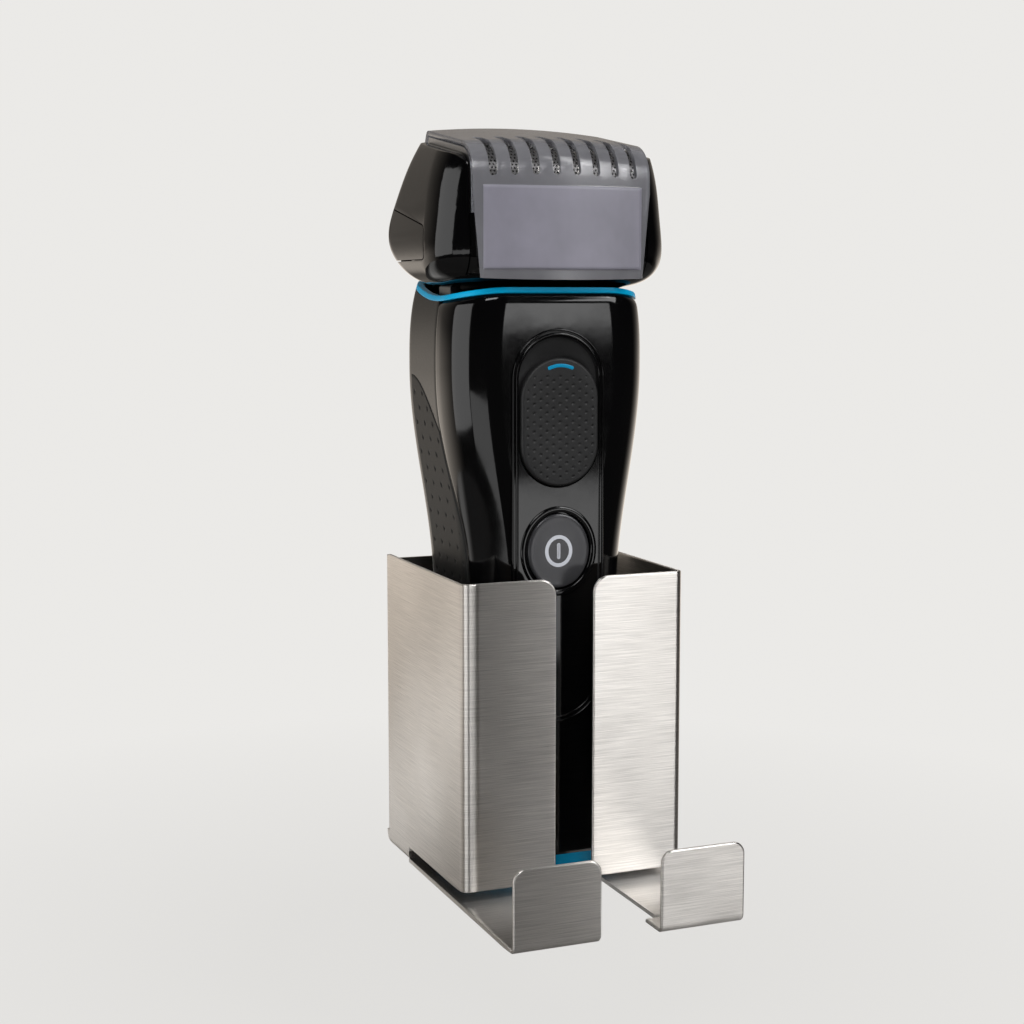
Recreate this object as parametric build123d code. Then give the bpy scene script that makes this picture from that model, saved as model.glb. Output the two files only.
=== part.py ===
from build123d import *
import os

os.makedirs("parts", exist_ok=True)

# A wall-mounted razor holder with the foil shaver that stands in it. All sizes are in millimetres.
# The holder is modelled with Y = 0 at the back of its back plate and Z = 0 under its arms.
# The shaver is modelled with Z = 0 at its base and Y = 0 on the axis of its handle, front towards -Y.

# Holder sheet
sheet = 1.0
holder_width = 58.0
holder_depth = 57.0
box_bottom = 4.0
box_top = 78.2
back_plate_top = 76.7
bend_radius = 2.0
flap_gap = 9.6
flap_corner = 4.0
side_corner = 3.0
foot_corner = 4.5
foot_length = 17.7

# Holder arms and hooks
arm_inner_edge = 10.7
hook_reach = 89.0
hook_top = 19.5
hook_inner_edge = 7.5
hook_corner = 3.0
nib_length = 8.5
relief_radius = 1.2

# Adhesive pad; the origin of the part is the middle of its wall face
pad_width = 48.0
pad_height = 60.0
pad_thickness = 1.0
pad_corner = 4.0
pad_middle = 41.0

# Shaver handle: half widths at its base, waist, shoulder and neck
base_half = 22.6
waist_half = 20.2
shoulder_half = 26.3
neck_half = 24.6
waist_height = 70.0
shoulder_height = 126.0
neck_height = 145.0
handle_front = 19.4
handle_rear = 20.0
front_radius = 12.0
rear_radius = 7.0
wall = 1.8
saddle_low = 143.95
saddle_middle = -4.0
saddle_radius = 59.0
ring_height = 1.4
bottom_cap_height = 6.0
base_round = 3.0
shaver_setback = 27.0

# Grips on the sides of the handle
grip_thickness = 1.2
grip_rear = 12.5
grip_foot = 9.0
grip_peak = 124.5

# Raised front panel with its slider and button
panel_width = 24.0
panel_foot = 40.0
panel_top = 136.0
panel_proud = 0.6
panel_seat = 0.9
groove_inset = 0.75
groove_width = 0.4
groove_depth = 0.35
recess_gap = 0.5
recess_depth = 0.9
slider_width = 20.4
slider_foot = 98.2
slider_length = 31.0
slider_proud = 1.0
slider_edge = 0.5
slider_travel = 4.6
dish_half = 6.5
dish_radius = 119.0
dish_depth = 0.4
stem_width = 5.6
stem_length = 9.6
stem_gap = 0.2
carrier_half = 8.0
carrier_length = 18.0
carrier_thickness = 1.8
lock_rod_half = 1.6
lock_rod_top = 132.0
button_height = 82.3
button_width = 16.2
button_length = 18.2
button_ring = 1.8
button_ring_proud = 0.4
button_gap = 0.3
button_proud = 0.1
button_edge = 0.35
button_thickness = 1.4
button_travel = 0.8

# Shaver head: height, front, back and half width of its outline, from its foot up
head_rows = (
    (145.2, -13.5, 3.0, 20.5),
    (147.0, -17.3, 8.0, 27.0),
    (149.5, -19.6, 12.4, 29.9),
    (153.0, -21.0, 18.2, 31.0),
    (157.0, -21.3, 22.9, 31.0),
    (161.0, -21.3, 24.0, 30.6),
    (165.5, -21.3, 21.6, 30.1),
    (170.0, -21.3, 18.4, 29.5),
    (174.5, -21.3, 15.8, 28.5),
    (179.0, -21.3, 13.6, 26.9),
    (183.5, -21.3, 11.6, 24.6),
)
head_front_radius = 12.0
head_back_radius = 9.0
head_setback = 1.85
lobe_front = 21.3
lobe_shoulder = 176.0
lobe_shoulder_radius = 8.0
roof_rise = 0.1757
channel_half = 23.1
channel_floor = 163.0
pivot_height = 151.6
pin_radius = 1.6
pivot_wall = 23.4
pin_end = 25.2
cheek_out = 22.6
cheek_thickness = 2.4
cheek_radius = 4.0
cheek_gap = 0.4
cheek_swing = 2.2
deck_drop = 5.5
deck_thickness = 3.0
running_gap = 0.05

# Protective cap: its side view is an upright front, a round shoulder, a roof that rises to the back
# and a back wall that leans out to the skirt; front and roof bow out towards the middle
cap_wall = 1.1
cap_half = 22.8
cap_front = 24.3
cap_front_bow = 2.4
cap_roof = 179.6
cap_roof_bow = 1.2
cap_shoulder_radius = 8.8
cap_peak = 9.9
cap_peak_radius = 1.6
cap_skirt = 22.3
cap_skirt_bow = 0.8
cap_skirt_top = 162.0
cap_skirt_radius = 12.0
cap_foot = 147.6
cap_foot_lean = 0.18
cap_foot_half = 20.8
cap_taper_top = 168.0
slot_count = 8
slot_pitch = 5.15
slot_width = 1.9
slot_foot = 172.0
slot_reach = 12.1
frost_half = 20.4
frost_foot = 150.0
frost_top = 169.5
frost_proud = 0.3

# Release buttons in the head's sides
release_depth = 2.0
release_travel = 1.0
release_lean = 1.2
release_round = 1.5
release_foot = 152.5
release_front = 9.6
release_front_top = 160.2
release_back = 15.5
release_back_top = 165.3

# Foils and cutters; their row leans with the cap's roof
row_setback = 4.3
row_rise = 0.186
foil_offset = 8.6
foil_radius = 7.0
foil_sheet = 0.3
foil_axis = 173.2
foil_half = 20.4
foil_leg = 6.6
foil_travel = 1.2
frame_gap = 0.4
frame_rail_top = 168.8
cutter_half = 18.2
cutter_gap = 0.15
cutter_lift = 0.5
spine_half = 3.0
spine_rise = 2.0
blade_count = 13
blade_thickness = 0.7
guard_gap = 0.25
guard_top = 0.4
guard_slots = 18
guard_pitch = 2.0
guard_slot_depth = 1.6

# Inside of the handle
battery_radius = 7.1
battery_length = 50.0
battery_foot = 20.0
battery_gap = 0.4
board_thickness = 1.2
board_gap = 3.2
board_half = 11.0
board_foot = 28.0
board_top = 124.0
post_heights = (34.0, 76.0, 118.0)
post_offset = 8.5
post_radius = 1.8
screw_radius = 1.0
screw_head_radius = 1.75
screw_head_height = 1.2
switch_height = 4.0
switch_half = 3.0
plunger_radius = 1.7
plunger_rise = 1.0
chassis_thickness = 1.6
chassis_half = 14.5
chassis_top = 137.0
rail_half = 0.8
rail_front = 4.2
rail_back = 9.0
cradle_heights = (22.0, 44.0, 66.0)
cradle_depth = 6.0
cradle_thickness = 2.5
pole_radius = 2.6
pole_rise = 1.2
stem_radius = 3.0

# Chips on the board: half width, thickness, foot and top
chips = ((4.0, 1.0, 44.0, 52.0), (6.0, 1.4, 58.0, 66.0))

# Window in the chassis for the wires: half width, foot and top
wire_window = (6.0, 84.0, 112.0)

# Charging socket
socket_width = 13.0
socket_depth = 8.5
socket_wall = 1.2
socket_foot = 0.4
socket_top = 12.0
contact_offset = 2.6
contact_radius = 0.8
contact_foot = 5.2
spigot_height = 3.0

# Linear motor in the head
tub_foot = 148.2
tub_half_depth = 18.4
tub_wall = 1.8
tub_roof = 1.6
hatch_ledge = 1.5
stator_half = 14.0
stator_depth = 16.0
stator_base = 2.4
stator_rise = 7.0
post_width = 4.0
post_depth = 12.0
coil_offset = 11.0
coil_build = 2.2
coil_height = 4.0
armature_half = 12.0
armature_depth = 22.0
armature_thickness = 2.6
drive_pin_radius = 1.2
thin_pin_radius = 0.45
drive_pin_reach = 3.0

# Long hair trimmer on the back of the handle
trimmer_foot = 96.0
trimmer_top = 138.0
trimmer_half = 12.5
trimmer_thickness = 2.2
trimmer_stand = 21.0
trimmer_travel = 12.0
trimmer_wall = 2.2
guide_sink = 0.6
guide_lip = 0.9
guide_lip_reach = 1.2
guide_foot_wall = 3.0
guide_drop = 5.0
guide_round = 1.2
thumb_rise = 2.0
thumb_foot = 1.0
thumb_length = 7.0
rib_count = 4
rib_pitch = 1.6
rib_width = 0.6
rib_depth = 0.5
blade_overlap = 4.0
blade_sheet = 0.7
blade_slip = 0.05
tooth_pitch = 1.6
tooth_depth = 1.8

# Clearances: around moving pieces and around seated ones
slip = 0.3
fine = 0.1

# Length that passes every piece, for cutting tools
beyond = 60.0

HOLDER = Pos(0, -pad_thickness, -pad_middle)
SHAVER = HOLDER * Pos(0, -shaver_setback, sheet)
HEAD_Y = -head_setback
ROW_Y = -row_setback
HANDLE_TOP = 150.0
handle_steps = 9


def front_plane(y, z=0.0):
    """Sketch plane that faces the front, with its own Y axis upwards."""
    return Plane(origin=(0, y, z), x_dir=(1, 0, 0), z_dir=(0, -1, 0))


def side_plane(x):
    """Sketch plane that faces +X, with its own X axis towards the wall and its own Y axis upwards."""
    return Plane(origin=(x, 0, 0), x_dir=(0, 1, 0), z_dir=(1, 0, 0))


def front_prism(sketch, y_back, y_front, z=0.0):
    """Sketch drawn from the front, thickened from y_back forward to y_front."""
    return extrude(front_plane(y_back, z) * sketch, amount=y_back - y_front)


def side_prism(sketch, x_low, x_high):
    """Sketch drawn from the side (Y, Z), thickened from x_low to x_high."""
    return extrude(side_plane(x_low) * sketch, amount=x_high - x_low)


def level_prism(sketch, z_low, z_high):
    """Sketch drawn from above, thickened from z_low to z_high."""
    return extrude(Pos(0, 0, z_low) * sketch, amount=z_high - z_low)


def block(x, y, z):
    """Box given by its limits along each axis."""
    size = (x[1] - x[0], y[1] - y[0], z[1] - z[0])
    return Pos((x[0] + x[1]) / 2, (y[0] + y[1]) / 2, (z[0] + z[1]) / 2) * Box(*size)


def polygon(*points):
    """Face inside a closed run of straight lines."""
    return make_face(Polyline(*points, close=True))


def corner_waste(u, v, out_u, out_v, radius):
    """What a rounding of the given radius takes off a corner that points to (out_u, out_v)."""
    reach = radius + 1.0
    square = Pos(u + out_u * (1.0 - radius) / 2, v + out_v * (1.0 - radius) / 2) * Rectangle(reach, reach)
    return square - Pos(u - out_u * radius, v - out_v * radius) * Circle(radius)


def stadium(width, low, high):
    """Upright slot shape between two heights, with round ends."""
    return Pos(0, (low + high) / 2) * SlotOverall(high - low, width, rotation=90)


def mirrored(shape):
    """The shape's twin on the other side of the middle plane."""
    return mirror(shape, about=Plane.YZ)


# Holder

def box_of_the_bracket():
    """Back plate, side panels and front flaps, folded from one strip."""
    middle = Pos(0, -holder_depth / 2)
    outer = RectangleRounded(holder_width, holder_depth, bend_radius)
    inner = RectangleRounded(holder_width - 2 * sheet, holder_depth - 2 * sheet, bend_radius - sheet)
    plan = middle * outer - middle * inner
    plan -= Pos(0, -holder_depth) * Rectangle(flap_gap, 4 * sheet)
    box = level_prism(plan, box_bottom, box_top)
    plate_half = holder_width / 2 - bend_radius
    box -= block((-plate_half, plate_half), (-2 * sheet, sheet), (back_plate_top, box_top + 1))
    for side in (-1, 1):
        waste = corner_waste(side * flap_gap / 2, box_top, -side, 1, flap_corner)
        box -= front_prism(waste, -holder_depth + 2 * sheet, -holder_depth - 1)
    return box


def foot_of_the_bracket():
    """Rear stretch of the right side panel that runs down and bends inwards under the box."""
    face = holder_width / 2
    profile = polygon((face, box_bottom), (face, 0), (face - bend_radius - 0.5, 0),
                      (face - bend_radius - 0.5, sheet), (face - sheet, sheet), (face - sheet, box_bottom))
    outer_corner = profile.vertices().sort_by_distance((face, 0, 0))[0]
    profile = fillet([outer_corner], bend_radius)
    inner_corner = profile.vertices().sort_by_distance((face - sheet, sheet, 0))[0]
    profile = fillet([inner_corner], bend_radius - sheet)
    foot = front_prism(profile, 0, -foot_length)
    return foot - side_prism(corner_waste(0, 0, 1, -1, foot_corner), face - 4 * sheet, face + 1)


def arm_of_the_bracket():
    """Right arm: a flat strip under the box that ends in an upturned hook."""
    face = holder_width / 2
    inset = face - bend_radius
    nib_start = hook_reach - nib_length
    strip = polygon((inset, -foot_corner), (inset, -foot_length), (face, -foot_length),
                    (face, -hook_reach + bend_radius), (hook_inner_edge, -hook_reach + bend_radius),
                    (hook_inner_edge, -nib_start), (arm_inner_edge, -nib_start),
                    (arm_inner_edge, -foot_corner))
    relief = Pos(arm_inner_edge, -nib_start) * Circle(relief_radius)
    arm = level_prism(strip - relief, 0, sheet)
    side_view = polygon((-nib_start, 0), (-hook_reach, 0), (-hook_reach, hook_top),
                        (-hook_reach + sheet, hook_top), (-hook_reach + sheet, sheet), (-nib_start, sheet))
    outer_corner = side_view.vertices().sort_by_distance((-hook_reach, 0, 0))[0]
    side_view = fillet([outer_corner], bend_radius)
    inner_corner = side_view.vertices().sort_by_distance((-hook_reach + sheet, sheet, 0))[0]
    side_view = fillet([inner_corner], bend_radius - sheet)
    hook = side_prism(side_view, hook_inner_edge, face)
    for edge, out in ((hook_inner_edge, -1), (face, 1)):
        waste = corner_waste(edge, hook_top, out, 1, hook_corner)
        hook -= front_prism(waste, -hook_reach + 2 * sheet, -hook_reach - 1)
    return arm + hook


def wall_bracket():
    """The whole folded sheet of the holder."""
    half = foot_of_the_bracket() + arm_of_the_bracket()
    bracket = box_of_the_bracket() + half + mirrored(half)
    waste = corner_waste(0, box_top, 1, 1, side_corner)
    for low in (-holder_width / 2 - 1, holder_width / 2 - bend_radius):
        bracket -= side_prism(waste, low, low + bend_radius + 1)
    return bracket


def adhesive_pad():
    """Foam pad between the back plate and the wall."""
    sheet_of_foam = RectangleRounded(pad_width, pad_height, pad_corner)
    return front_prism(sheet_of_foam, pad_thickness, 0, pad_middle)


# Shape of the handle

def half_width(height):
    """Half width of the handle: base, drawn in waist, full shoulder, then in to the neck."""
    if height < waist_height:
        return waist_half + (base_half - waist_half) * (1 - height / waist_height) ** 2
    if height < shoulder_height:
        part = (height - waist_height) / (shoulder_height - waist_height)
        return waist_half + (shoulder_half - waist_half) * part * part * (3 - 2 * part)
    part = (height - shoulder_height) / (neck_height - shoulder_height)
    return shoulder_half - (shoulder_half - neck_half) * part ** 3


def handle_section(height, inset=0.0):
    """Cross-section of the handle: flat front between round corners, tighter corners at the back."""
    half = half_width(height) - inset
    front, rear = handle_front - inset, handle_rear - inset
    plan = Pos(0, (rear - front) / 2) * Rectangle(2 * half, front + rear)
    plan = fillet(plan.vertices().sort_by(Axis.Y)[:2], front_radius - inset)
    plan = fillet(plan.vertices().sort_by(Axis.Y)[-2:], rear_radius - inset)
    return Pos(0, 0, height) * plan


def handle_heights(low, high):
    """Heights of the sections that a loft of the handle runs through, evenly spaced so that it doesn't wave."""
    marks = [shoulder_height * step / handle_steps for step in range(1, handle_steps + 1)]
    marks += [(shoulder_height + neck_height) / 2, neck_height]
    return [low] + [mark for mark in marks if low + 4 < mark < high - 4] + [high]


def handle_solid(inset, low, high):
    """Solid with the handle's outline, drawn in by an inset, between two heights."""
    return loft([handle_section(height, inset) for height in handle_heights(low, high)])


def above_saddle(drop):
    """Everything above the saddle that tops the handle, lowered by a drop.

    The saddle is the inside of a large cylinder along X: low at the sides, higher at the front and
    highest at the back.
    """
    centre = Pos(saddle_middle, saddle_low - drop + saddle_radius)
    return side_prism(centre * Circle(saddle_radius), -beyond, beyond)


def seam_line():
    """Side view of where the gloss front shell meets the rear shell, from the base to the neck."""
    return Spline((-11.0, -1.0), (-11.0, 30.0), (-11.0, 70.0), (-10.0, 96.0), (-5.6, 113.0), (-5.0, 128.0),
                  (-5.0, HANDLE_TOP + 2))


def front_region(gap=0.0):
    """Everything in front of the seam between the two shells."""
    seam = Pos(-gap, 0) * seam_line()
    far = -handle_front - 10
    frame = Polyline((-5.0 - gap, HANDLE_TOP + 2), (far, HANDLE_TOP + 2), (far, -1.0), (-11.0 - gap, -1.0))
    return side_prism(make_face(seam + frame), -beyond, beyond)


def shell_blank():
    """Hollow wall of the handle between the bottom cap and the neck ring."""
    outer = handle_solid(0, bottom_cap_height, HANDLE_TOP)
    hollow = handle_solid(wall, bottom_cap_height - 1, HANDLE_TOP + 1)
    return outer - hollow - above_saddle(ring_height)


def grip_region(margin=0.0):
    """Side view of a grip: a long field whose top runs to a point at the back."""
    foot = grip_foot - margin
    rear = grip_rear + margin
    lean = Spline((-5.7 - margin, 110.5), (-0.6, 119.0 + margin), (rear, grip_peak + margin))
    front = Spline((-10.7 - margin, foot), (-10.7 - margin, 70.0), (-9.6 - margin, 96.0), (-5.7 - margin, 110.5))
    back = Polyline((rear, grip_peak + margin), (rear, foot), (-10.7 - margin, foot))
    return make_face(front + lean + back)


def grip_skin(margin, depth):
    """Outer skin of the handle inside the grip field, as deep as given, on both sides."""
    field = side_prism(grip_region(margin), -beyond, beyond)
    skin = handle_solid(0, bottom_cap_height, HANDLE_TOP)
    skin -= handle_solid(depth, bottom_cap_height - 1, HANDLE_TOP + 1)
    return field & skin


# Front panel, slider and button

def panel_blank():
    """Raised oval panel with its groove, slider recess and button ring."""
    front = -handle_front - panel_proud
    seat = -handle_front + panel_seat
    outline = stadium(panel_width, panel_foot, panel_top)
    panel = front_prism(outline, seat, front)
    inner_edge = groove_inset + groove_width
    groove_out = stadium(panel_width - 2 * groove_inset, panel_foot + groove_inset, panel_top - groove_inset)
    groove_in = stadium(panel_width - 2 * inner_edge, panel_foot + inner_edge, panel_top - inner_edge)
    panel -= front_prism(groove_out - groove_in, front + groove_depth, front - 1)
    recess_top = slider_foot + slider_length + slider_travel + recess_gap
    recess = stadium(slider_width + 2 * recess_gap, slider_foot - recess_gap, recess_top)
    panel -= front_prism(recess, front + recess_depth, front - 1)
    ring = Ellipse(button_width / 2 + button_ring, button_length / 2 + button_ring)
    panel += front_prism(Pos(0, button_height) * ring, seat, front - button_ring_proud)
    return panel - front_prism(button_opening(), seat + 1, front - 2)


def stem_slot():
    """Slot through the panel and the front shell for the slider's stem."""
    middle = slider_foot + slider_length / 2
    half = stem_length / 2 + stem_gap
    return stadium(stem_width + 2 * stem_gap, middle - half, middle + half + slider_travel)


def button_opening():
    """Oval opening that the button moves in."""
    return Pos(0, button_height) * Ellipse(button_width / 2 + button_gap, button_length / 2 + button_gap)


def front_panel():
    """Panel with the stem slot cut through."""
    return panel_blank() - front_prism(stem_slot(), 0, -handle_front - 5)


def front_shell(blank):
    """Gloss front shell with a pocket for the panel and openings for the two stems."""
    shell = blank & front_region()
    pocket = stadium(panel_width + 2 * fine, panel_foot - fine, panel_top + fine)
    shell -= front_prism(pocket, -handle_front + panel_seat, -handle_front - 5)
    shell -= front_prism(stem_slot(), 0, -handle_front - 5)
    return shell - front_prism(button_opening(), 0, -handle_front - 5)


def rear_shell(blank):
    """Satin rear shell with shallow beds for the grips and a seat for the trimmer."""
    shell = blank - front_region(-fine)
    shell -= grip_skin(fine, grip_thickness)
    return shell


def lock_slider():
    """Rubber faced slider that locks the head; dished along its length and round at the ends."""
    front = -handle_front - panel_proud
    floor = front + recess_depth - fine / 2
    crown = front - slider_proud
    pad = front_prism(stadium(slider_width, slider_foot, slider_foot + slider_length), floor, crown)
    pad = chamfer(pad.faces().sort_by(Axis.Y)[0].edges(), slider_edge)
    middle = slider_foot + slider_length / 2
    dish_centre = Pos(crown + dish_depth - dish_radius, middle)
    dish = side_prism(dish_centre * Circle(dish_radius), -dish_half, dish_half)
    return pad - dish


def slider_carrier():
    """Stem and back plate that carry the slider, with the rod that reaches up to lock the head."""
    middle = slider_foot + slider_length / 2
    front = -handle_front - panel_proud + recess_depth - fine / 2
    inside = -handle_front + wall + fine
    layer = (inside, inside + carrier_thickness)
    low, high = middle - carrier_length / 2, middle + carrier_length / 2
    stem = front_prism(stadium(stem_width, middle - stem_length / 2, middle + stem_length / 2), inside, front)
    plate = block((-carrier_half, carrier_half), layer, (low, high))
    rod = block((-lock_rod_half, lock_rod_half), layer, (high, lock_rod_top))
    return stem + plate + rod


def power_button():
    """Oval button with a slightly crowned face."""
    front = -handle_front - panel_proud
    oval = Pos(0, button_height) * Ellipse(button_width / 2, button_length / 2)
    disc = front_prism(oval, front + button_thickness, front - button_proud)
    return chamfer(disc.faces().sort_by(Axis.Y)[0].edges(), button_edge)


def button_stem():
    """Stem that carries the push from the button to the switch."""
    front = -handle_front - panel_proud + button_thickness
    back = board_front() - switch_height - slip - button_travel
    return front_prism(Pos(0, button_height) * Circle(stem_radius), back, front)


# Inside of the handle

def board_front():
    """Where the front face of the circuit board lies."""
    return -chassis_thickness - board_gap - board_thickness


def inner_chassis():
    """Upright tray inside the handle: web, side rails, board posts and battery cradles."""
    span = (socket_top, chassis_top)
    tray = block((-chassis_half, chassis_half), (-chassis_thickness, 0), span)
    for side in (-1, 1):
        rail = (side * chassis_half - rail_half, side * chassis_half + rail_half)
        tray += block(rail, (-rail_front, rail_back), span)
    for height in post_heights:
        for side in (-1, 1):
            post = Pos(side * post_offset, height) * Circle(post_radius)
            tray += front_prism(post, -chassis_thickness, board_front() + board_thickness)
    for height in cradle_heights:
        cradle = block((-chassis_half, chassis_half), (0, cradle_depth), (height, height + cradle_thickness))
        tray += cradle - Pos(0, battery_radius + battery_gap, height) * Cylinder(battery_radius + fine, 10)
    half, foot, top = wire_window
    return tray - block((-half, half), (-chassis_thickness - 1, 1), (foot, top))


def battery_cell():
    """Rechargeable round cell with its raised pole."""
    middle = Pos(0, battery_radius + battery_gap, battery_foot)
    cell = middle * Cylinder(battery_radius, battery_length, align=(Align.CENTER, Align.CENTER, Align.MIN))
    length = battery_length + pole_rise
    pole = middle * Cylinder(pole_radius, length, align=(Align.CENTER, Align.CENTER, Align.MIN))
    return cell + pole


def circuit_board():
    """Control board with its two largest chips and the screw holes."""
    front = board_front()
    board = block((-board_half, board_half), (front, front + board_thickness), (board_foot, board_top))
    for half, thickness, foot, top in chips:
        board += block((-half, half), (front - thickness, front), (foot, top))
    for height in post_heights:
        for side in (-1, 1):
            board -= front_prism(Pos(side * post_offset, height) * Circle(screw_radius + fine), front + 3, front - 3)
    return board


def power_switch():
    """Tact switch on the board, behind the button's stem."""
    front = board_front()
    step = front - switch_height + plunger_rise
    body = block((-switch_half, switch_half), (step, front),
                 (button_height - switch_half, button_height + switch_half))
    return body + front_prism(Pos(0, button_height) * Circle(plunger_radius), step, front - switch_height)


def chassis_screws():
    """Six screws that hold the board to its posts."""
    front = board_front()
    group = []
    for height in post_heights:
        for side in (-1, 1):
            middle = Pos(side * post_offset, height)
            head = front_prism(middle * Circle(screw_head_radius), front, front - screw_head_height)
            shank = front_prism(middle * Circle(screw_radius), front + board_thickness, front)
            group.append(head + shank)
    return Compound(children=group)


def socket_shape(margin=0.0):
    """Oval outline of the charging socket."""
    return SlotOverall(socket_width + 2 * margin, socket_depth + 2 * margin)


def bottom_cap():
    """Cap that closes the handle below, with a bore for the charging socket."""
    cap = handle_solid(0, 0, bottom_cap_height)
    cap = fillet(cap.faces().sort_by(Axis.Z)[0].edges(), base_round)
    cap += handle_solid(wall + fine, bottom_cap_height - 1, bottom_cap_height + spigot_height)
    return cap - level_prism(socket_shape(), -1, 20)


def charging_socket():
    """Insulator of the charging socket: an oval cup open below."""
    cup = level_prism(socket_shape(), socket_foot, socket_top)
    cup -= level_prism(socket_shape(-socket_wall), 0, socket_top - 2 * socket_wall)
    for side in (-1, 1):
        cup -= level_prism(Pos(side * contact_offset, 0) * Circle(contact_radius), 0, socket_top + 1)
    return cup


def socket_pins():
    """Two contact pins of the charging socket."""
    pin = level_prism(Pos(contact_offset, 0) * Circle(contact_radius), contact_foot, socket_top)
    pins = [mirrored(pin), pin]
    return Compound(children=pins)


def neck_ring():
    """Thin coloured band between the shells and the head, along the saddle."""
    low = saddle_low - 2 * ring_height - slip
    band = handle_solid(0, low, HANDLE_TOP) - above_saddle(0)
    band &= above_saddle(ring_height)
    return band - handle_solid(wall, low - 1, HANDLE_TOP + 1)


def neck_yoke():
    """Deck that closes the handle's top, with two cheeks that carry the head's pivot pins."""
    low = saddle_low - deck_drop
    yoke = handle_solid(wall + fine, low, low + deck_thickness)
    for side in (-1, 1):
        near, far = side * (cheek_out - cheek_thickness), side * cheek_out
        tab = Pos(HEAD_Y, pivot_height) * Circle(cheek_radius)
        tab += Pos(HEAD_Y, (low + pivot_height) / 2 + 1) * Rectangle(2 * cheek_radius, pivot_height - low - 2)
        tab -= Pos(HEAD_Y, pivot_height) * Circle(pin_radius)
        yoke += side_prism(tab, min(near, far), max(near, far))
    return yoke


def pivot_pins():
    """Two pins on which the head tilts."""
    pins = []
    for side in (-1, 1):
        near, far = side * (cheek_out - cheek_thickness), side * pin_end
        pins.append(side_prism(Pos(HEAD_Y, pivot_height) * Circle(pin_radius), min(near, far), max(near, far)))
    return Compound(children=pins)


# Long hair trimmer

def trimmer_guide():
    """Raised frame on the handle's back that the trimmer slides in, open at the top."""
    outer_half = trimmer_half + trimmer_wall
    back = trimmer_stand + trimmer_thickness + slip
    top = trimmer_top - guide_drop
    guide = block((-outer_half, outer_half), (handle_rear - guide_sink, back + guide_lip),
                  (trimmer_foot - guide_foot_wall, top))
    guide = fillet(guide.edges().filter_by(Axis.X).group_by(Axis.Y)[-1], guide_round)
    channel = (-trimmer_half - fine, trimmer_half + fine)
    guide -= block(channel, (trimmer_stand - fine, back + 2), (trimmer_foot - fine, top + 1))
    for side in (-1, 1):
        lip_low = min(side * (trimmer_half + fine), side * (trimmer_half - guide_lip_reach))
        lip = (lip_low, lip_low + guide_lip_reach + fine)
        guide += block(lip, (back - slip + fine, back + guide_lip), (trimmer_foot, top))
    return guide - handle_solid(0, bottom_cap_height, HANDLE_TOP)


def trimmer_slide():
    """Sliding plate of the trimmer with its ribbed thumb catch."""
    half = trimmer_half
    plate = block((-half, half), (trimmer_stand, trimmer_stand + trimmer_thickness),
                  (trimmer_foot, trimmer_top - blade_overlap))
    grip = half - guide_lip_reach - 1.0
    foot = trimmer_foot + thumb_foot
    back = trimmer_stand + trimmer_thickness + thumb_rise
    thumb = block((-grip, grip), (trimmer_stand, back), (foot, foot + thumb_length))
    for step in range(rib_count):
        height = foot + thumb_length / 2 + (step - rib_count / 2) * rib_pitch + (rib_pitch - rib_width) / 2
        thumb -= block((-grip - 1, grip + 1), (back - rib_depth, back + 1), (height, height + rib_width))
    return plate + thumb


def comb(half, y_low, y_high, z_low, z_high):
    """Flat blade whose upper edge is cut into teeth."""
    blade = block((-half, half), (y_low, y_high), (z_low, z_high))
    count = int((2 * half - 1) / tooth_pitch)
    for index in range(count):
        x = (index - (count - 1) / 2) * tooth_pitch
        gap = (x - tooth_pitch / 4, x + tooth_pitch / 4)
        blade -= block(gap, (y_low - 1, y_high + 1), (z_high - tooth_depth, z_high + 1))
    return blade


def trimmer_comb():
    """Fixed outer blade of the trimmer."""
    middle = trimmer_stand + trimmer_thickness / 2
    near = middle + blade_slip
    return comb(trimmer_half - 0.5, near, near + blade_sheet, trimmer_top - blade_overlap, trimmer_top)


def trimmer_cutter():
    """Moving inner blade of the trimmer, a little shorter than the fixed one."""
    middle = trimmer_stand + trimmer_thickness / 2
    low = trimmer_top - blade_overlap + blade_slip
    far = middle - blade_slip - blade_sheet
    return comb(trimmer_half - 2.0, far, middle, low, trimmer_top - 0.3)


# Shaver head

def head_section(row, inset=0.0):
    """Cross-section of the head at one row of its outline: large corners in front, smaller ones behind."""
    height, front, back, half = row
    depth = back - front - 2 * inset
    plan = Pos(0, (front + back) / 2) * Rectangle(2 * (half - inset), depth)
    plan = fillet(plan.vertices().sort_by(Axis.Y)[:2], min(head_front_radius - inset, 0.5 * depth))
    plan = fillet(plan.vertices().sort_by(Axis.Y)[-2:], min(head_back_radius - inset, 0.38 * depth))
    return Pos(0, 0, height) * plan


def head_outer(inset=0.0):
    """Outline of the head: full and rounded at its foot, drawn in and leaning forward above."""
    return loft([head_section(row, inset) for row in head_rows])


def lobe_view():
    """Side view of the end lobes: upright front, round shoulder, roof that rises to the back."""
    back = 40.0
    roof_end = lobe_shoulder + roof_rise * (back + lobe_front)
    view = polygon((-lobe_front, lobe_shoulder), (back, roof_end), (back, 100), (-lobe_front, 100))
    corner = view.vertices().sort_by_distance((-lobe_front, lobe_shoulder, 0))[0]
    return fillet([corner], lobe_shoulder_radius)


def release_field(margin=0.0):
    """Side view of a release button: a field low on the head's side, higher towards the back."""
    field = polygon((-release_front - release_lean, release_foot), (-release_front, release_front_top),
                    (release_back, release_back_top), (release_back, release_foot))
    field = fillet(field.vertices(), release_round)
    return offset(field, margin) if margin else field


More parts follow.
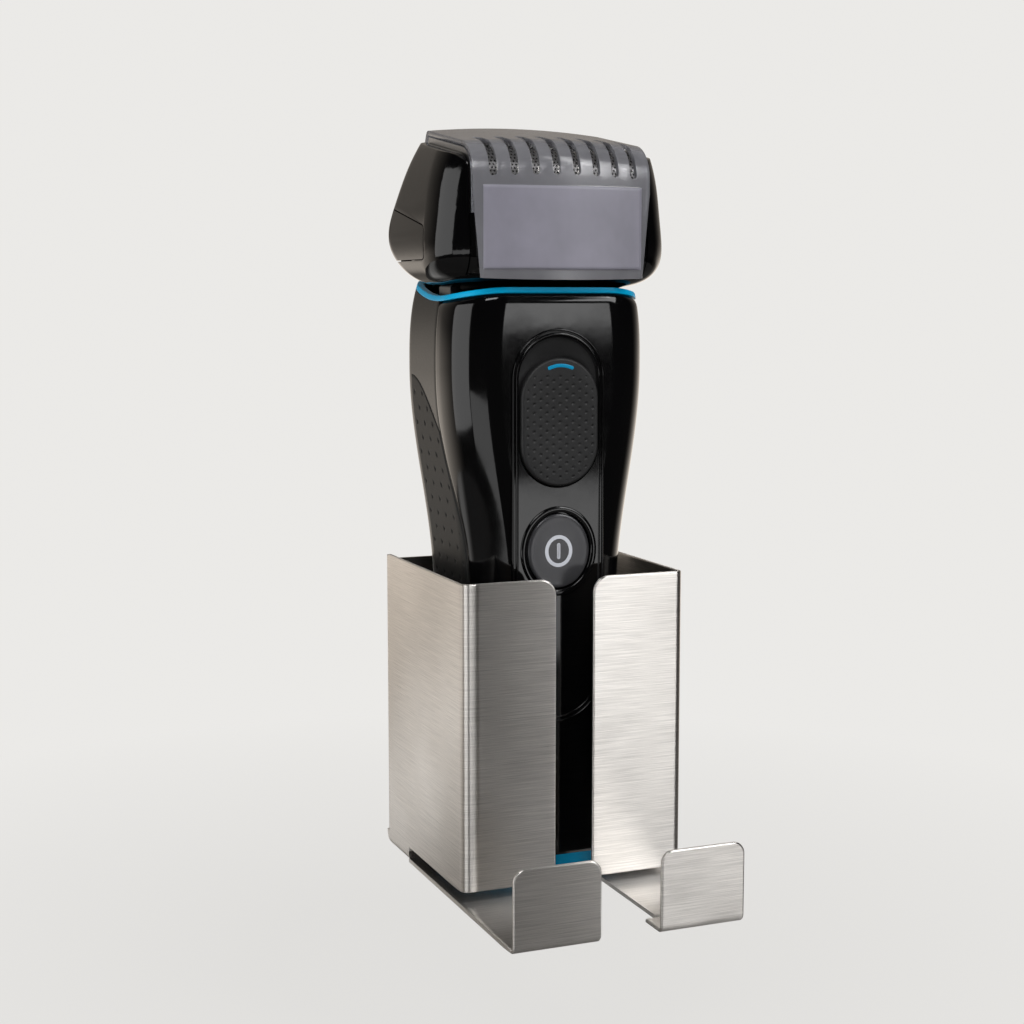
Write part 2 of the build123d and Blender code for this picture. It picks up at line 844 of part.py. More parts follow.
def head_housing(outer):
    """Black housing of the head: a tub between two end lobes, with room for the cassette and the drive."""
    housing = outer & side_prism(lobe_view(), -beyond, beyond)
    housing -= block((-channel_half, channel_half), (-40, 40), (channel_floor, 200))
    cap_room = side_prism(above_rim(cap_foot - slip), -channel_half, channel_half)
    housing -= cap_room - cap_solid(cap_wall + slip)
    room = block((-pivot_wall, pivot_wall), (HEAD_Y - tub_half_depth, HEAD_Y + tub_half_depth),
                 (tub_foot, channel_floor - tub_roof))
    housing -= room & head_outer(tub_wall)
    hatch_half = channel_half - hatch_ledge
    housing -= block((-hatch_half, hatch_half), (HEAD_Y - tub_half_depth, HEAD_Y + tub_half_depth),
                     (channel_floor - tub_roof - 1, channel_floor + 1))
    for side in (-1, 1):
        near, far = side * (cheek_out - cheek_thickness - cheek_gap), side * (cheek_out + cheek_gap)
        swing = cheek_radius + cheek_swing
        housing -= block((min(near, far), max(near, far)), (HEAD_Y - swing, HEAD_Y + swing),
                         (tub_foot - 5, tub_foot + 1))
        bore = Pos(HEAD_Y, pivot_height) * Circle(pin_radius + running_gap)
        near, far = side * (pivot_wall - 1), side * (pin_end + 0.2)
        housing -= side_prism(bore, min(near, far), max(near, far))
    field = side_prism(release_field(slip), -beyond, beyond)
    return housing - (field & release_band(outer, release_depth + release_travel + 2 * slip))


def release_band(outer, depth):
    """Outer skin of the head's sides, as deep as given."""
    inner = Pos(depth, 0, 0) * outer & Pos(-depth, 0, 0) * outer
    return outer - inner


def release_buttons(outer):
    """Left and right release buttons, flush with the head's sides."""
    both = side_prism(release_field(), -beyond, beyond) & release_band(outer, release_depth)
    parts = both.solids().sort_by(Axis.X)
    return parts[0], parts[-1]


def motor_stator():
    """Iron core of the linear motor: a base with three posts."""
    low = tub_foot
    core = level_prism(Pos(0, ROW_Y) * Rectangle(2 * stator_half, stator_depth), low, low + stator_base)
    for middle in (-coil_offset, 0, coil_offset):
        post = Pos(middle, ROW_Y) * Rectangle(post_width, post_depth)
        core += level_prism(post, low + stator_base, low + stator_rise)
    return core


def motor_coils():
    """Two coils wound round the outer posts."""
    low = tub_foot + stator_base
    ring = RectangleRounded(post_width + 2 * coil_build, post_depth + 2 * coil_build, coil_build - fine)
    ring -= Rectangle(post_width + 2 * fine, post_depth + 2 * fine)
    coil = level_prism(Pos(coil_offset, ROW_Y) * ring, low, low + coil_height)
    return Compound(children=[mirrored(coil), coil])


def armature_foot():
    """Height of the armature's underside."""
    return tub_foot + stator_rise + slip


def motor_armature():
    """Moving plate of the motor that carries the drive pins."""
    low = armature_foot()
    plate = Pos(0, ROW_Y) * Rectangle(2 * armature_half, armature_depth)
    return level_prism(plate, low, low + armature_thickness)


def drive_pins():
    """Three pins that push the cutters from side to side."""
    low = armature_foot() + armature_thickness
    pins = [level_prism(Pos(0, row_y(row)) * Circle(pin), low, row_foot(row) + drive_pin_reach)
            for row, pin in ((-1, drive_pin_radius), (0, thin_pin_radius), (1, drive_pin_radius))]
    return Compound(children=pins)


def cap_view(x, inset=0.0):
    """Side view of the cap's outline at a place across it, drawn in by an inset and open below."""
    bow = (x / cap_half) ** 2
    front = -cap_front + cap_front_bow * bow
    skirt = cap_skirt - cap_skirt_bow * bow
    roof = cap_roof - cap_roof_bow * bow
    shoulder = (front, roof + roof_rise * (front + cap_front))
    peak = (cap_peak, roof + roof_rise * (cap_peak + cap_front))
    low = 120.0
    view = polygon((front, low), shoulder, peak, (skirt, cap_skirt_top), (skirt, low))
    if inset:
        view = offset(view, -inset, kind=Kind.INTERSECTION)
    for corner, radius in ((shoulder, cap_shoulder_radius - inset), (peak, max(cap_peak_radius - inset, 0.3)),
                           ((skirt, cap_skirt_top), cap_skirt_radius - inset)):
        nearest = view.vertices().sort_by_distance((corner[0], corner[1], 0))[0]
        view = fillet([nearest], radius)
    return view


def cap_solid(inset):
    """Solid inside the cap's outline, drawn in by an inset; bowed out towards the middle."""
    places = [cap_half * share for share in (-1, -0.5, 0, 0.5, 1)]
    return loft([side_plane(x) * cap_view(x, inset) for x in places])


def above_rim(height):
    """Side view of everything above the cap's lower rim, which climbs from the front to the back."""
    front, back = -40.0, 40.0
    climb = cap_foot_lean * (back + cap_front)
    dip = cap_foot_lean * (front + cap_front)
    return polygon((front, height + dip), (back, height + climb), (back, 210), (front, 210))


def protective_cap():
    """Smoked cap: a bowed sheet with slots over its front shoulder and back wall and a frosted field."""
    cap = cap_solid(0) - cap_solid(cap_wall)
    cap &= side_prism(above_rim(cap_foot), -cap_half, cap_half)
    top = 200.0
    outline = polygon((-cap_foot_half, cap_foot - 2), (-cap_half, cap_taper_top), (-cap_half, top),
                      (cap_half, top), (cap_half, cap_taper_top), (cap_foot_half, cap_foot - 2))
    cap &= front_prism(outline, 40, -40)
    for index in range(slot_count):
        x = (index - (slot_count - 1) / 2) * slot_pitch
        slot = Pos(x, (slot_foot + top) / 2) * SlotOverall(top - slot_foot, slot_width, rotation=90)
        cap -= front_prism(slot, -slot_reach, -40)
        cap -= front_prism(slot, 40, cap_peak + cap_peak_radius)
    frost = Pos(0, (frost_foot + frost_top) / 2) * RectangleRounded(2 * frost_half, frost_top - frost_foot, 1.5)
    field = front_prism(frost, -cap_front + 2 * cap_front_bow, -cap_front - 2)
    return cap + (field & cap_solid(-frost_proud)) - cap_solid(cap_wall)


def cassette_frame():
    """Frame that holds both foils and lifts out as one: two arched end plates, rails and a bottom frame."""
    low = channel_floor + fine
    inner_half = foil_half + frame_gap
    outer_half = cap_half - 0.2
    arch = cap_view(cap_half, cap_wall + 0.45)
    arch -= Pos(0, low - 50) * Rectangle(100, 100)
    frame = side_prism(arch, -outer_half, outer_half)
    reach = foil_offset + foil_radius + frame_gap
    frame -= block((-inner_half, inner_half), (ROW_Y - reach, ROW_Y + reach), (low - 1, 200))
    return frame - level_prism(Rectangle(2 * inner_half, 80), frame_rail_top, 200)


def row_y(row):
    """Depth of a shaving element: row -1 is the front foil, 0 the middle comb, 1 the rear foil."""
    return ROW_Y + row * foil_offset


def row_axis(row):
    """Height of a shaving element's axis; the row leans with the cap's roof."""
    return foil_axis + row * foil_offset * row_rise


def row_foot(row):
    """Height of a shaving element's foot."""
    return row_axis(row) - foil_leg


def foil(row):
    """One arched foil: a thin half tube with straight legs."""
    centre, axis, foot = row_y(row), row_axis(row), row_foot(row)
    outer = Pos(centre, axis) * Circle(foil_radius)
    outer += Pos(centre, (foot + axis) / 2) * Rectangle(2 * foil_radius, axis - foot)
    radius = foil_radius - foil_sheet
    inner = Pos(centre, axis) * Circle(radius)
    inner += Pos(centre, (foot + axis) / 2 - 2) * Rectangle(2 * radius, axis - foot + 4)
    below = Pos(centre, foot - 10) * Rectangle(40, 20)
    return side_prism(outer - inner - below, -foil_half, foil_half)


def cutter(row):
    """Block of half round blades on a spine, driven by a pin in its underside."""
    centre, axis, foot = row_y(row), row_axis(row), row_foot(row)
    radius = foil_radius - foil_sheet - cutter_gap
    blade = Pos(centre, axis) * Circle(radius)
    blade -= Pos(centre, axis - 10) * Rectangle(40, 20)
    pitch = (2 * cutter_half - blade_thickness) / (blade_count - 1)
    spine = block((-cutter_half, cutter_half), (centre - spine_half, centre + spine_half),
                  (foot + cutter_lift, axis + spine_rise))
    for index in range(blade_count):
        x = -cutter_half + index * pitch
        spine += side_prism(blade, x, x + blade_thickness)
    bore = Pos(0, centre) * Circle(drive_pin_radius + running_gap)
    return spine - level_prism(bore, foot - 1, foot + drive_pin_reach + foil_travel + slip)


def middle_trimmer():
    """Narrow comb between the foils, a thin channel open below with teeth along its top."""
    half = foil_offset - foil_radius - guard_gap
    top = foil_axis + foil_radius - 0.2
    foot = row_foot(0)
    view = Pos(ROW_Y, (top + foot) / 2) * Rectangle(2 * half, top - foot)
    view -= Pos(ROW_Y, (top + foot) / 2 - guard_top) * Rectangle(2 * (half - foil_sheet), top - foot)
    guard = side_prism(view, -foil_half + 1, foil_half - 1)
    for index in range(guard_slots):
        x = (index - (guard_slots - 1) / 2) * guard_pitch
        gap = (x - guard_pitch / 5, x + guard_pitch / 5)
        guard -= block(gap, (ROW_Y - 3, ROW_Y + 3), (top - guard_slot_depth, top + 1))
    return guard


def middle_cutter():
    """Thin moving blade inside the middle comb."""
    half = foil_offset - foil_radius - guard_gap - foil_sheet - fine
    top = foil_axis + foil_radius - 2 * guard_top
    foot = row_foot(0)
    reach = cutter_half - 0.5
    blade = block((-reach, reach), (ROW_Y - half, ROW_Y + half), (foot + cutter_lift, top))
    bore = Pos(0, ROW_Y) * Circle(thin_pin_radius + running_gap)
    return blade - level_prism(bore, foot - 1, foot + drive_pin_reach + foil_travel + slip)


def write(name, shape, place):
    """Put one piece into the part's frame and write it under its name."""
    placed = place * shape
    placed.label = name
    export_step(placed, f"parts/{name}.step")


blank = shell_blank()
grips = grip_skin(0, grip_thickness - fine / 2).solids().sort_by(Axis.X)
head_blank = head_outer()
left_release, right_release = release_buttons(head_blank)

write("wall_bracket", wall_bracket(), HOLDER)
write("adhesive_pad", adhesive_pad(), HOLDER)

shaver_pieces = {
    "front_shell": front_shell(blank),
    "rear_shell": rear_shell(blank),
    "left_grip": grips[0],
    "right_grip": grips[-1],
    "front_panel": front_panel(),
    "neck_ring": neck_ring(),
    "bottom_cap": bottom_cap(),
    "charging_socket": charging_socket(),
    "socket_pins": socket_pins(),
    "inner_chassis": inner_chassis(),
    "battery_cell": battery_cell(),
    "circuit_board": circuit_board(),
    "power_switch": power_switch(),
    "chassis_screws": chassis_screws(),
    "neck_yoke": neck_yoke(),
    "pivot_pins": pivot_pins(),
    "trimmer_guide": trimmer_guide(),
    "power_button": power_button(),
    "button_stem": button_stem(),
    "lock_slider": lock_slider(),
    "slider_carrier": slider_carrier(),
    "trimmer_slide": trimmer_slide(),
    "trimmer_comb": trimmer_comb(),
    "trimmer_cutter": trimmer_cutter(),
    "head_housing": head_housing(head_blank),
    "left_release": left_release,
    "right_release": right_release,
    "motor_stator": motor_stator(),
    "motor_coils": motor_coils(),
    "motor_armature": motor_armature(),
    "drive_pins": drive_pins(),
    "cassette_frame": cassette_frame(),
    "front_foil": foil(-1),
    "rear_foil": foil(1),
    "front_cutter": cutter(-1),
    "rear_cutter": cutter(1),
    "middle_trimmer": middle_trimmer(),
    "middle_cutter": middle_cutter(),
    "protective_cap": protective_cap(),
}
for name, shape in shaver_pieces.items():
    write(name, shape, SHAVER)
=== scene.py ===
import logging
import math
from dataclasses import dataclass, field
from enum import Enum

import bmesh
import bpy
import numpy as np
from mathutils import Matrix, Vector


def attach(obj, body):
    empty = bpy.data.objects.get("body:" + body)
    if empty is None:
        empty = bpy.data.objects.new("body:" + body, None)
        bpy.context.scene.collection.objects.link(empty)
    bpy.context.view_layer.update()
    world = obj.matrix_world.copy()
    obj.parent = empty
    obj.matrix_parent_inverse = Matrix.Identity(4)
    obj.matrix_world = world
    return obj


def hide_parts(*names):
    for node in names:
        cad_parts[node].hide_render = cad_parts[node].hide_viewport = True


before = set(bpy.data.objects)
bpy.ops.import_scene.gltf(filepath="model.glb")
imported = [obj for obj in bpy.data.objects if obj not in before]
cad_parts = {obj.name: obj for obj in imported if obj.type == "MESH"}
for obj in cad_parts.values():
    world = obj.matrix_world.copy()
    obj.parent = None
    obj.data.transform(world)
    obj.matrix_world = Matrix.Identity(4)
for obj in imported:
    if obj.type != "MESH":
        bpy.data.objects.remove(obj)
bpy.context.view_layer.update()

# Looks of a razor holder and of the foil shaver that stands in it.
# The shaver's shapes are worked out in millimetres, with its foot at height 0 and its middle at depth 0.
# They move to the part's frame, in metres, as they become meshes. The holder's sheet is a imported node.

log = logging.getLogger("razor_holder")
MM = 0.001
SHAVER_AT = np.array([0.0, -28.0, -40.0])


class Grain(Enum):
    """Which procedural detail a finish carries."""

    BRUSHED = "brushed"
    GLOSS = "gloss"
    SATIN = "satin"
    RUBBER = "rubber"
    GROUND = "ground"
    FOAM = "foam"
    FOIL = "foil"
    BOARD = "board"
    WIRE = "wire"
    SMOKED = "smoked"


@dataclass(frozen=True)
class Finish:
    """One finish of the object: what goes on the shader's sockets, and the detail over it."""

    name: str
    color: tuple
    roughness: float
    grain: Grain
    metallic: float = 0.0
    specular: float = 0.5
    anisotropic: float = 0.0
    clear: float = 0.0
    spread: float = 0.12
    shared_slot: str = ""

    @property
    def slot(self) -> str:
        """Name that the finish shares with another finish, or else its own name."""
        return self.shared_slot or self.name

    def build(self) -> bpy.types.Material:
        """Makes the node material.

        Returns:
            The material, with its colour, roughness and relief driven by procedural nodes.
        """
        material = bpy.data.materials.new(self.name)
        bench = NodeBench(material)
        bench.shader.inputs["Metallic"].default_value = self.metallic
        bench.shader.inputs["Specular IOR Level"].default_value = self.specular
        bench.shader.inputs["Anisotropic"].default_value = self.anisotropic
        bench.shader.inputs["Transmission Weight"].default_value = self.clear
        DETAIL[self.grain](bench, self)
        return material


class NodeBench:
    """Small workbench over the node tree of a material or of the world."""

    def __init__(self, owner: bpy.types.ID) -> None:
        """Opens a tree and keeps its main shader, if it has one.

        Args:
            owner: the material or world with the tree.
        """
        owner.use_nodes = True
        self.tree = owner.node_tree
        self.shader = self.tree.nodes.get("Principled BSDF")

    def node(self, kind: str, **settings: object) -> bpy.types.Node:
        """Adds a node.

        Args:
            kind: the node's Blender type name.
            settings: attributes of the node, or input values where the key starts with "in_".

        Returns:
            The new node.
        """
        made = self.tree.nodes.new(kind)
        for key, value in settings.items():
            if key.startswith("in_"):
                made.inputs[key[3:].replace("_", " ")].default_value = value
            else:
                setattr(made, key, value)
        return made

    def link(self, source: bpy.types.NodeSocket, target: bpy.types.NodeSocket) -> None:
        """Joins an output to an input."""
        self.tree.links.new(source, target)

    def coordinates(self, scale: tuple | float = 1.0, uv: bool = False) -> bpy.types.NodeSocket:
        """Object coordinates in millimetres, or the piece's own UV map, times a scale.

        Args:
            scale: how many pattern units one millimetre holds, along each axis or along all.
            uv: whether the pattern follows the piece's UV map.

        Returns:
            The output socket with the scaled coordinates.
        """
        place = self.node("ShaderNodeTexCoord")
        mapping = self.node("ShaderNodeMapping")
        unit = 1.0 if uv else 1.0 / MM
        mapping.inputs["Scale"].default_value = [share * unit for share in np.broadcast_to(scale, 3).tolist()]
        self.link(place.outputs["UV" if uv else "Object"], mapping.inputs["Vector"])
        return mapping.outputs["Vector"]

    def split(self, vector: bpy.types.NodeSocket) -> tuple:
        """Takes a vector apart.

        Args:
            vector: the output socket with the vector.

        Returns:
            The output sockets with its parts along the three axes.
        """
        parts = self.node("ShaderNodeSeparateXYZ")
        self.link(vector, parts.inputs["Vector"])
        return tuple(parts.outputs)

    def noise(self, scale: tuple | float, detail: float = 3.0, uv: bool = False) -> bpy.types.NodeSocket:
        """Fractal noise over scaled coordinates.

        Args:
            scale: how many noise cells one millimetre holds, along each axis or along all.
            detail: how many finer layers lie over the first.
            uv: whether the noise follows the piece's UV map.

        Returns:
            The output socket with the noise, about 0.3 to 0.7.
        """
        made = self.node("ShaderNodeTexNoise", in_Scale=1.0, in_Detail=detail, in_Roughness=0.55)
        self.link(self.coordinates(scale, uv), made.inputs["Vector"])
        return made.outputs["Fac"]

    def remap(self, value: bpy.types.NodeSocket, low: float, high: float, from_low: float = 0.3,
              from_high: float = 0.7, smooth: bool = False) -> bpy.types.NodeSocket:
        """Maps a value from one range to another and holds it at the ends.

        Args:
            value: the output socket with the value.
            low: the result at the start of the range.
            high: the result at its end.
            from_low: the value where the range starts.
            from_high: the value where it ends.
            smooth: whether the result leaves and meets its ends gently.

        Returns:
            The output socket with the result.
        """
        shape = "SMOOTHSTEP" if smooth else "LINEAR"
        made = self.node("ShaderNodeMapRange", clamp=True, interpolation_type=shape)
        ends = {"From Min": from_low, "From Max": from_high, "To Min": low, "To Max": high}
        for key, number in ends.items():
            made.inputs[key].default_value = number
        self.link(value, made.inputs["Value"])
        return made.outputs["Result"]

    def math(self, operation: str, first: bpy.types.NodeSocket | float,
             second: bpy.types.NodeSocket | float = 0.0) -> bpy.types.NodeSocket:
        """One sum on two values.

        Args:
            operation: the sum's Blender name.
            first: an output socket or a number.
            second: an output socket or a number; sums on one value pass over it.

        Returns:
            The output socket with the result.
        """
        made = self.node("ShaderNodeMath", operation=operation)
        for slot, value in enumerate((first, second)):
            if isinstance(value, (int, float)):
                made.inputs[slot].default_value = value
            else:
                self.link(value, made.inputs[slot])
        return made.outputs[0]

    def plus(self, first: bpy.types.NodeSocket,
             second: bpy.types.NodeSocket | float) -> bpy.types.NodeSocket:
        """Sum of two values."""
        return self.math("ADD", first, second)

    def times(self, first: bpy.types.NodeSocket,
              second: bpy.types.NodeSocket | float) -> bpy.types.NodeSocket:
        """Product of two values."""
        return self.math("MULTIPLY", first, second)

    def blend(self, factor: bpy.types.NodeSocket, first: tuple, second: tuple) -> bpy.types.NodeSocket:
        """Mixes two colours.

        Args:
            factor: the output socket with the share of the second colour.
            first: the first colour.
            second: the second colour.

        Returns:
            The output socket with the mixed colour.
        """
        made = self.node("ShaderNodeMix", data_type="RGBA")
        made.inputs["A"].default_value = (*first, 1.0)
        made.inputs["B"].default_value = (*second, 1.0)
        self.link(factor, made.inputs["Factor"])
        return made.outputs["Result"]

    def relief(self, height: bpy.types.NodeSocket, depth: float, strength: bpy.types.NodeSocket | float = 1.0,
               under: bpy.types.NodeSocket | None = None) -> bpy.types.NodeSocket:
        """Feeds a height to the shader's normal.

        Args:
            height: the output socket with the height.
            depth: how deep one unit of height is, in millimetres.
            strength: the share of the relief, as a number or an output socket.
            under: the normal that the relief lies over.

        Returns:
            The output socket with the normal.
        """
        bump = self.node("ShaderNodeBump", in_Distance=depth * MM)
        self.link(height, bump.inputs["Height"])
        if isinstance(strength, float):
            bump.inputs["Strength"].default_value = strength
        else:
            self.link(strength, bump.inputs["Strength"])
        if under is not None:
            self.link(under, bump.inputs["Normal"])
        self.link(bump.outputs["Normal"], self.shader.inputs["Normal"])
        return bump.outputs["Normal"]

    def tint(self, value: bpy.types.NodeSocket, finish: Finish) -> None:
        """Varies the base colour about the finish's own, by the share of its spread.

        Args:
            value: the output socket that runs from the darker tone at 0 to the lighter at 1.
            finish: the finish with the colour and the spread.
        """
        dark = tuple(part * (1.0 - finish.spread) for part in finish.color)
        light = tuple(min(1.0, part * (1.0 + finish.spread)) for part in finish.color)
        self.link(self.blend(value, dark, light), self.shader.inputs["Base Color"])

    def roughen(self, finish: Finish, *changes: bpy.types.NodeSocket) -> None:
        """Sets the roughness: the sum of the finish's own and of each change.

        Args:
            finish: the finish with the roughness.
            changes: output sockets with what is added to it.
        """
        total = changes[0]
        for change in changes[1:]:
            total = self.plus(total, change)
        self.link(self.plus(total, finish.roughness), self.shader.inputs["Roughness"])

    def seen(self) -> bpy.types.NodeSocket:
        """Whether the camera looks on, straight or through clear plastic: the larger of two shares."""
        rays = self.node("ShaderNodeLightPath")
        return self.math("MAXIMUM", rays.outputs["Is Camera Ray"], rays.outputs["Is Transmission Ray"])

    def show(self, factor: bpy.types.NodeSocket, first: bpy.types.NodeSocket,
             second: bpy.types.NodeSocket) -> None:
        """Puts a mix of two shaders on the tree's output.

        Args:
            factor: the output socket with the share of the second shader.
            first: the first shader's output socket.
            second: the second shader's output socket.
        """
        mix = self.node("ShaderNodeMixShader")
        for slot, source in enumerate((factor, first, second)):
            self.link(source, mix.inputs[slot])
        output = next(node for node in self.tree.nodes if node.type.startswith("OUTPUT"))
        self.link(mix.outputs["Shader"], output.inputs["Surface"])


def detail_brushed(bench: NodeBench, finish: Finish) -> None:
    """Brushed sheet: long fine scratches along the UV map's first axis, over slow cloudy wear.

    The scratches are a weighted sum of two noises stretched along that axis. The folded flaps
    spring back a little: the surface seems to fall with the distance from the middle times the
    tangent of an angle. The box's sheet begins to turn before its left bend: there it falls with
    the square of the distance past a line.

    Args:
        bench: the workbench over the material's tree.
        finish: the finish that the material is made for.
    """
    spring_back = math.tan(math.radians(3.5))
    turn_line, turn_rate = -24.5, 0.07
    box_foot, box_front = -38.2, -75.0
    fine = bench.noise((0.1, 15.0, 1.0), 4.0, uv=True)
    coarse = bench.noise((0.05, 4.5, 1.0), 3.0, uv=True)
    cloud = bench.noise(0.045, 2.0)
    streak = bench.plus(bench.times(fine, 0.6), bench.times(coarse, 0.4))
    bench.tint(bench.remap(streak, 0.0, 1.0, 0.36, 0.64), finish)
    bench.roughen(finish, bench.remap(streak, -0.05, 0.06), bench.remap(cloud, -0.03, 0.03))
    bench.shader.inputs["Anisotropic Rotation"].default_value = 0.25
    tangent = bench.node("ShaderNodeTangent", direction_type="UV_MAP", uv_map="brush")
    bench.link(tangent.outputs["Tangent"], bench.shader.inputs["Tangent"])
    x, y, z = bench.split(bench.coordinates())
    sprung = bench.relief(bench.times(bench.math("ABSOLUTE", x), -spring_back), 1.0)
    past = bench.math("MAXIMUM", bench.math("SUBTRACT", turn_line, x), 0.0)
    of_box = bench.times(bench.math("GREATER_THAN", z, box_foot), bench.math("GREATER_THAN", y, box_front))
    turned = bench.relief(bench.times(bench.times(past, past), -turn_rate), 1.0, of_box, sprung)
    bench.relief(streak, 0.02, 0.8, turned)


def detail_gloss(bench: NodeBench, finish: Finish) -> None:
    """Moulded gloss: faint handling haze in the roughness and a very shallow flow of the surface.

    Args:
        bench: the workbench over the material's tree.
        finish: the finish that the material is made for.
    """
    haze = bench.noise(0.12, 4.0)
    dust = bench.noise(2.4, 2.0)
    bench.tint(haze, finish)
    bench.roughen(finish, bench.remap(haze, -0.02, 0.03), bench.remap(dust, 0.0, 0.015))
    bench.relief(bench.noise(0.35, 1.0), 0.01, 0.25)


def detail_satin(bench: NodeBench, finish: Finish) -> None:
    """Fine spark-eroded texture of satin mouldings.

    Args:
        bench: the workbench over the material's tree.
        finish: the finish that the material is made for.
    """
    grain = bench.noise(5.0)
    bench.tint(bench.remap(bench.noise(0.1), 0.0, 1.0), finish)
    bench.roughen(finish, bench.remap(grain, -0.04, 0.04))
    bench.relief(grain, 0.02, 0.35)


def detail_rubber(bench: NodeBench, finish: Finish) -> None:
    """Soft rubber: matt, faintly mottled, with a dusty bloom.

    Args:
        bench: the workbench over the material's tree.
        finish: the finish that the material is made for.
    """
    grain = bench.noise(7.0)
    bench.tint(bench.remap(bench.noise(0.5, 4.0), 0.0, 1.0), finish)
    bench.roughen(finish, bench.remap(grain, -0.05, 0.05))
    bench.relief(grain, 0.02, 0.5)


def detail_ground(bench: NodeBench, finish: Finish) -> None:
    """Ground or plated metal: fine cross scratches and light uneven wear.

    Args:
        bench: the workbench over the material's tree.
        finish: the finish that the material is made for.
    """
    scratch = bench.noise((0.4, 8.0, 8.0))
    bench.tint(bench.remap(bench.noise(0.6, 4.0), 0.0, 1.0), finish)
    bench.roughen(finish, bench.remap(scratch, -0.06, 0.08))
    bench.relief(scratch, 0.004, 0.3)


def detail_foam(bench: NodeBench, finish: Finish) -> None:
    """Closed-cell foam: small round cells, darker in their pits and a little lighter on their walls, which is
    painted shade in the pits.

    Args:
        bench: the workbench over the material's tree.
        finish: the finish that the material is made for.
    """
    cells = bench.node("ShaderNodeTexVoronoi", in_Scale=1.0)
    bench.link(bench.coordinates(2.2), cells.inputs["Vector"])
    # painted shade: the tone follows the cells' distance field, darker in the pits that the relief sinks
    bench.tint(bench.remap(cells.outputs["Distance"], 0.0, 1.0, 0.0, 0.7), finish)
    bench.roughen(finish, bench.math("SUBTRACT", bench.noise(1.0), 0.5))
    bench.relief(cells.outputs["Distance"], 0.15, 0.8)


def detail_foil(bench: NodeBench, finish: Finish) -> None:
    """Perforated foil: rows of round holes, every second row shifted by half a pitch; the holes are painted
    near black, as painted shade of the dark inside seen through them.

    A point's place in its cell is the fraction of its coordinate over the pitch, less a half. The
    hole is where the distance from the cell's middle is small.

    Args:
        bench: the workbench over the material's tree.
        finish: the finish that the material is made for.
    """
    pitch, row_share = 0.95, 0.85
    hole_inside, hole_outside = 0.24, 0.31
    # painted shade: the near-black colour in the holes stands for the dark inside seen through them
    dark = (0.012, 0.012, 0.012)
    x, _, z = bench.split(bench.coordinates())
    up = bench.math("DIVIDE", z, pitch * row_share)
    shift = bench.times(bench.math("PINGPONG", bench.math("FLOOR", up), 1.0), 0.5)
    along = bench.plus(bench.math("DIVIDE", x, pitch), shift)
    cell_x = bench.math("SUBTRACT", bench.math("FRACT", along), 0.5)
    cell_z = bench.times(bench.math("SUBTRACT", bench.math("FRACT", up), 0.5), row_share)
    square = bench.plus(bench.times(cell_x, cell_x), bench.times(cell_z, cell_z))
    metal = bench.remap(bench.math("SQRT", square), 0.0, 1.0, hole_inside, hole_outside)
    bench.link(bench.blend(metal, dark, finish.color), bench.shader.inputs["Base Color"])
    bench.link(metal, bench.shader.inputs["Metallic"])
    bench.roughen(finish, bench.remap(bench.noise(0.7), -0.05, 0.08))
    bench.relief(metal, 0.08, 0.7)


def detail_board(bench: NodeBench, finish: Finish) -> None:
    """Circuit board: lighter copper tracks under the lacquer.

    Args:
        bench: the workbench over the material's tree.
        finish: the finish that the material is made for.
    """
    tracks = bench.node("ShaderNodeTexBrick", offset=0.5, in_Scale=1.0, in_Mortar_Size=0.06)
    bench.link(bench.coordinates((0.5, 0.5, 0.35)), tracks.inputs["Vector"])
    light = tuple(min(1.0, part * 1.8 + 0.02) for part in finish.color)
    bench.link(bench.blend(tracks.outputs["Fac"], finish.color, light), bench.shader.inputs["Base Color"])
    bench.roughen(finish, bench.remap(bench.noise(1.0), -0.05, 0.05))
    bench.relief(tracks.outputs["Fac"], 0.05, 0.6)


def detail_wire(bench: NodeBench, finish: Finish) -> None:
    """Wound wire: fine turns stacked along the height, with a soft change of tone.

    Args:
        bench: the workbench over the material's tree.
        finish: the finish that the material is made for.
    """
    waves = bench.node("ShaderNodeTexWave", bands_direction="Z", in_Scale=1.0)
    bench.link(bench.coordinates(), waves.inputs["Vector"])
    bench.tint(waves.outputs["Fac"], finish)
    bench.roughen(finish, bench.remap(bench.noise(1.0), -0.05, 0.05))
    bench.relief(waves.outputs["Fac"], 0.12, 0.9)


def detail_smoked(bench: NodeBench, finish: Finish) -> None:
    """Smoked clear plastic with faint flow marks; how frosted it is goes with its roughness.

    Args:
        bench: the workbench over the material's tree.
        finish: the finish that the material is made for.
    """
    bench.shader.inputs["IOR"].default_value = 1.49
    speck = bench.noise(3.0)
    bench.tint(bench.remap(bench.noise((0.08, 0.5, 0.08)), 0.0, 1.0), finish)
    bench.roughen(finish, bench.remap(speck, -0.03, 0.03))
    bench.relief(speck, 0.02, 0.15 + finish.roughness)


DETAIL = {
    Grain.BRUSHED: detail_brushed,
    Grain.GLOSS: detail_gloss,
    Grain.SATIN: detail_satin,
    Grain.RUBBER: detail_rubber,
    Grain.GROUND: detail_ground,
    Grain.FOAM: detail_foam,
    Grain.FOIL: detail_foil,
    Grain.BOARD: detail_board,
    Grain.WIRE: detail_wire,
    Grain.SMOKED: detail_smoked,
}

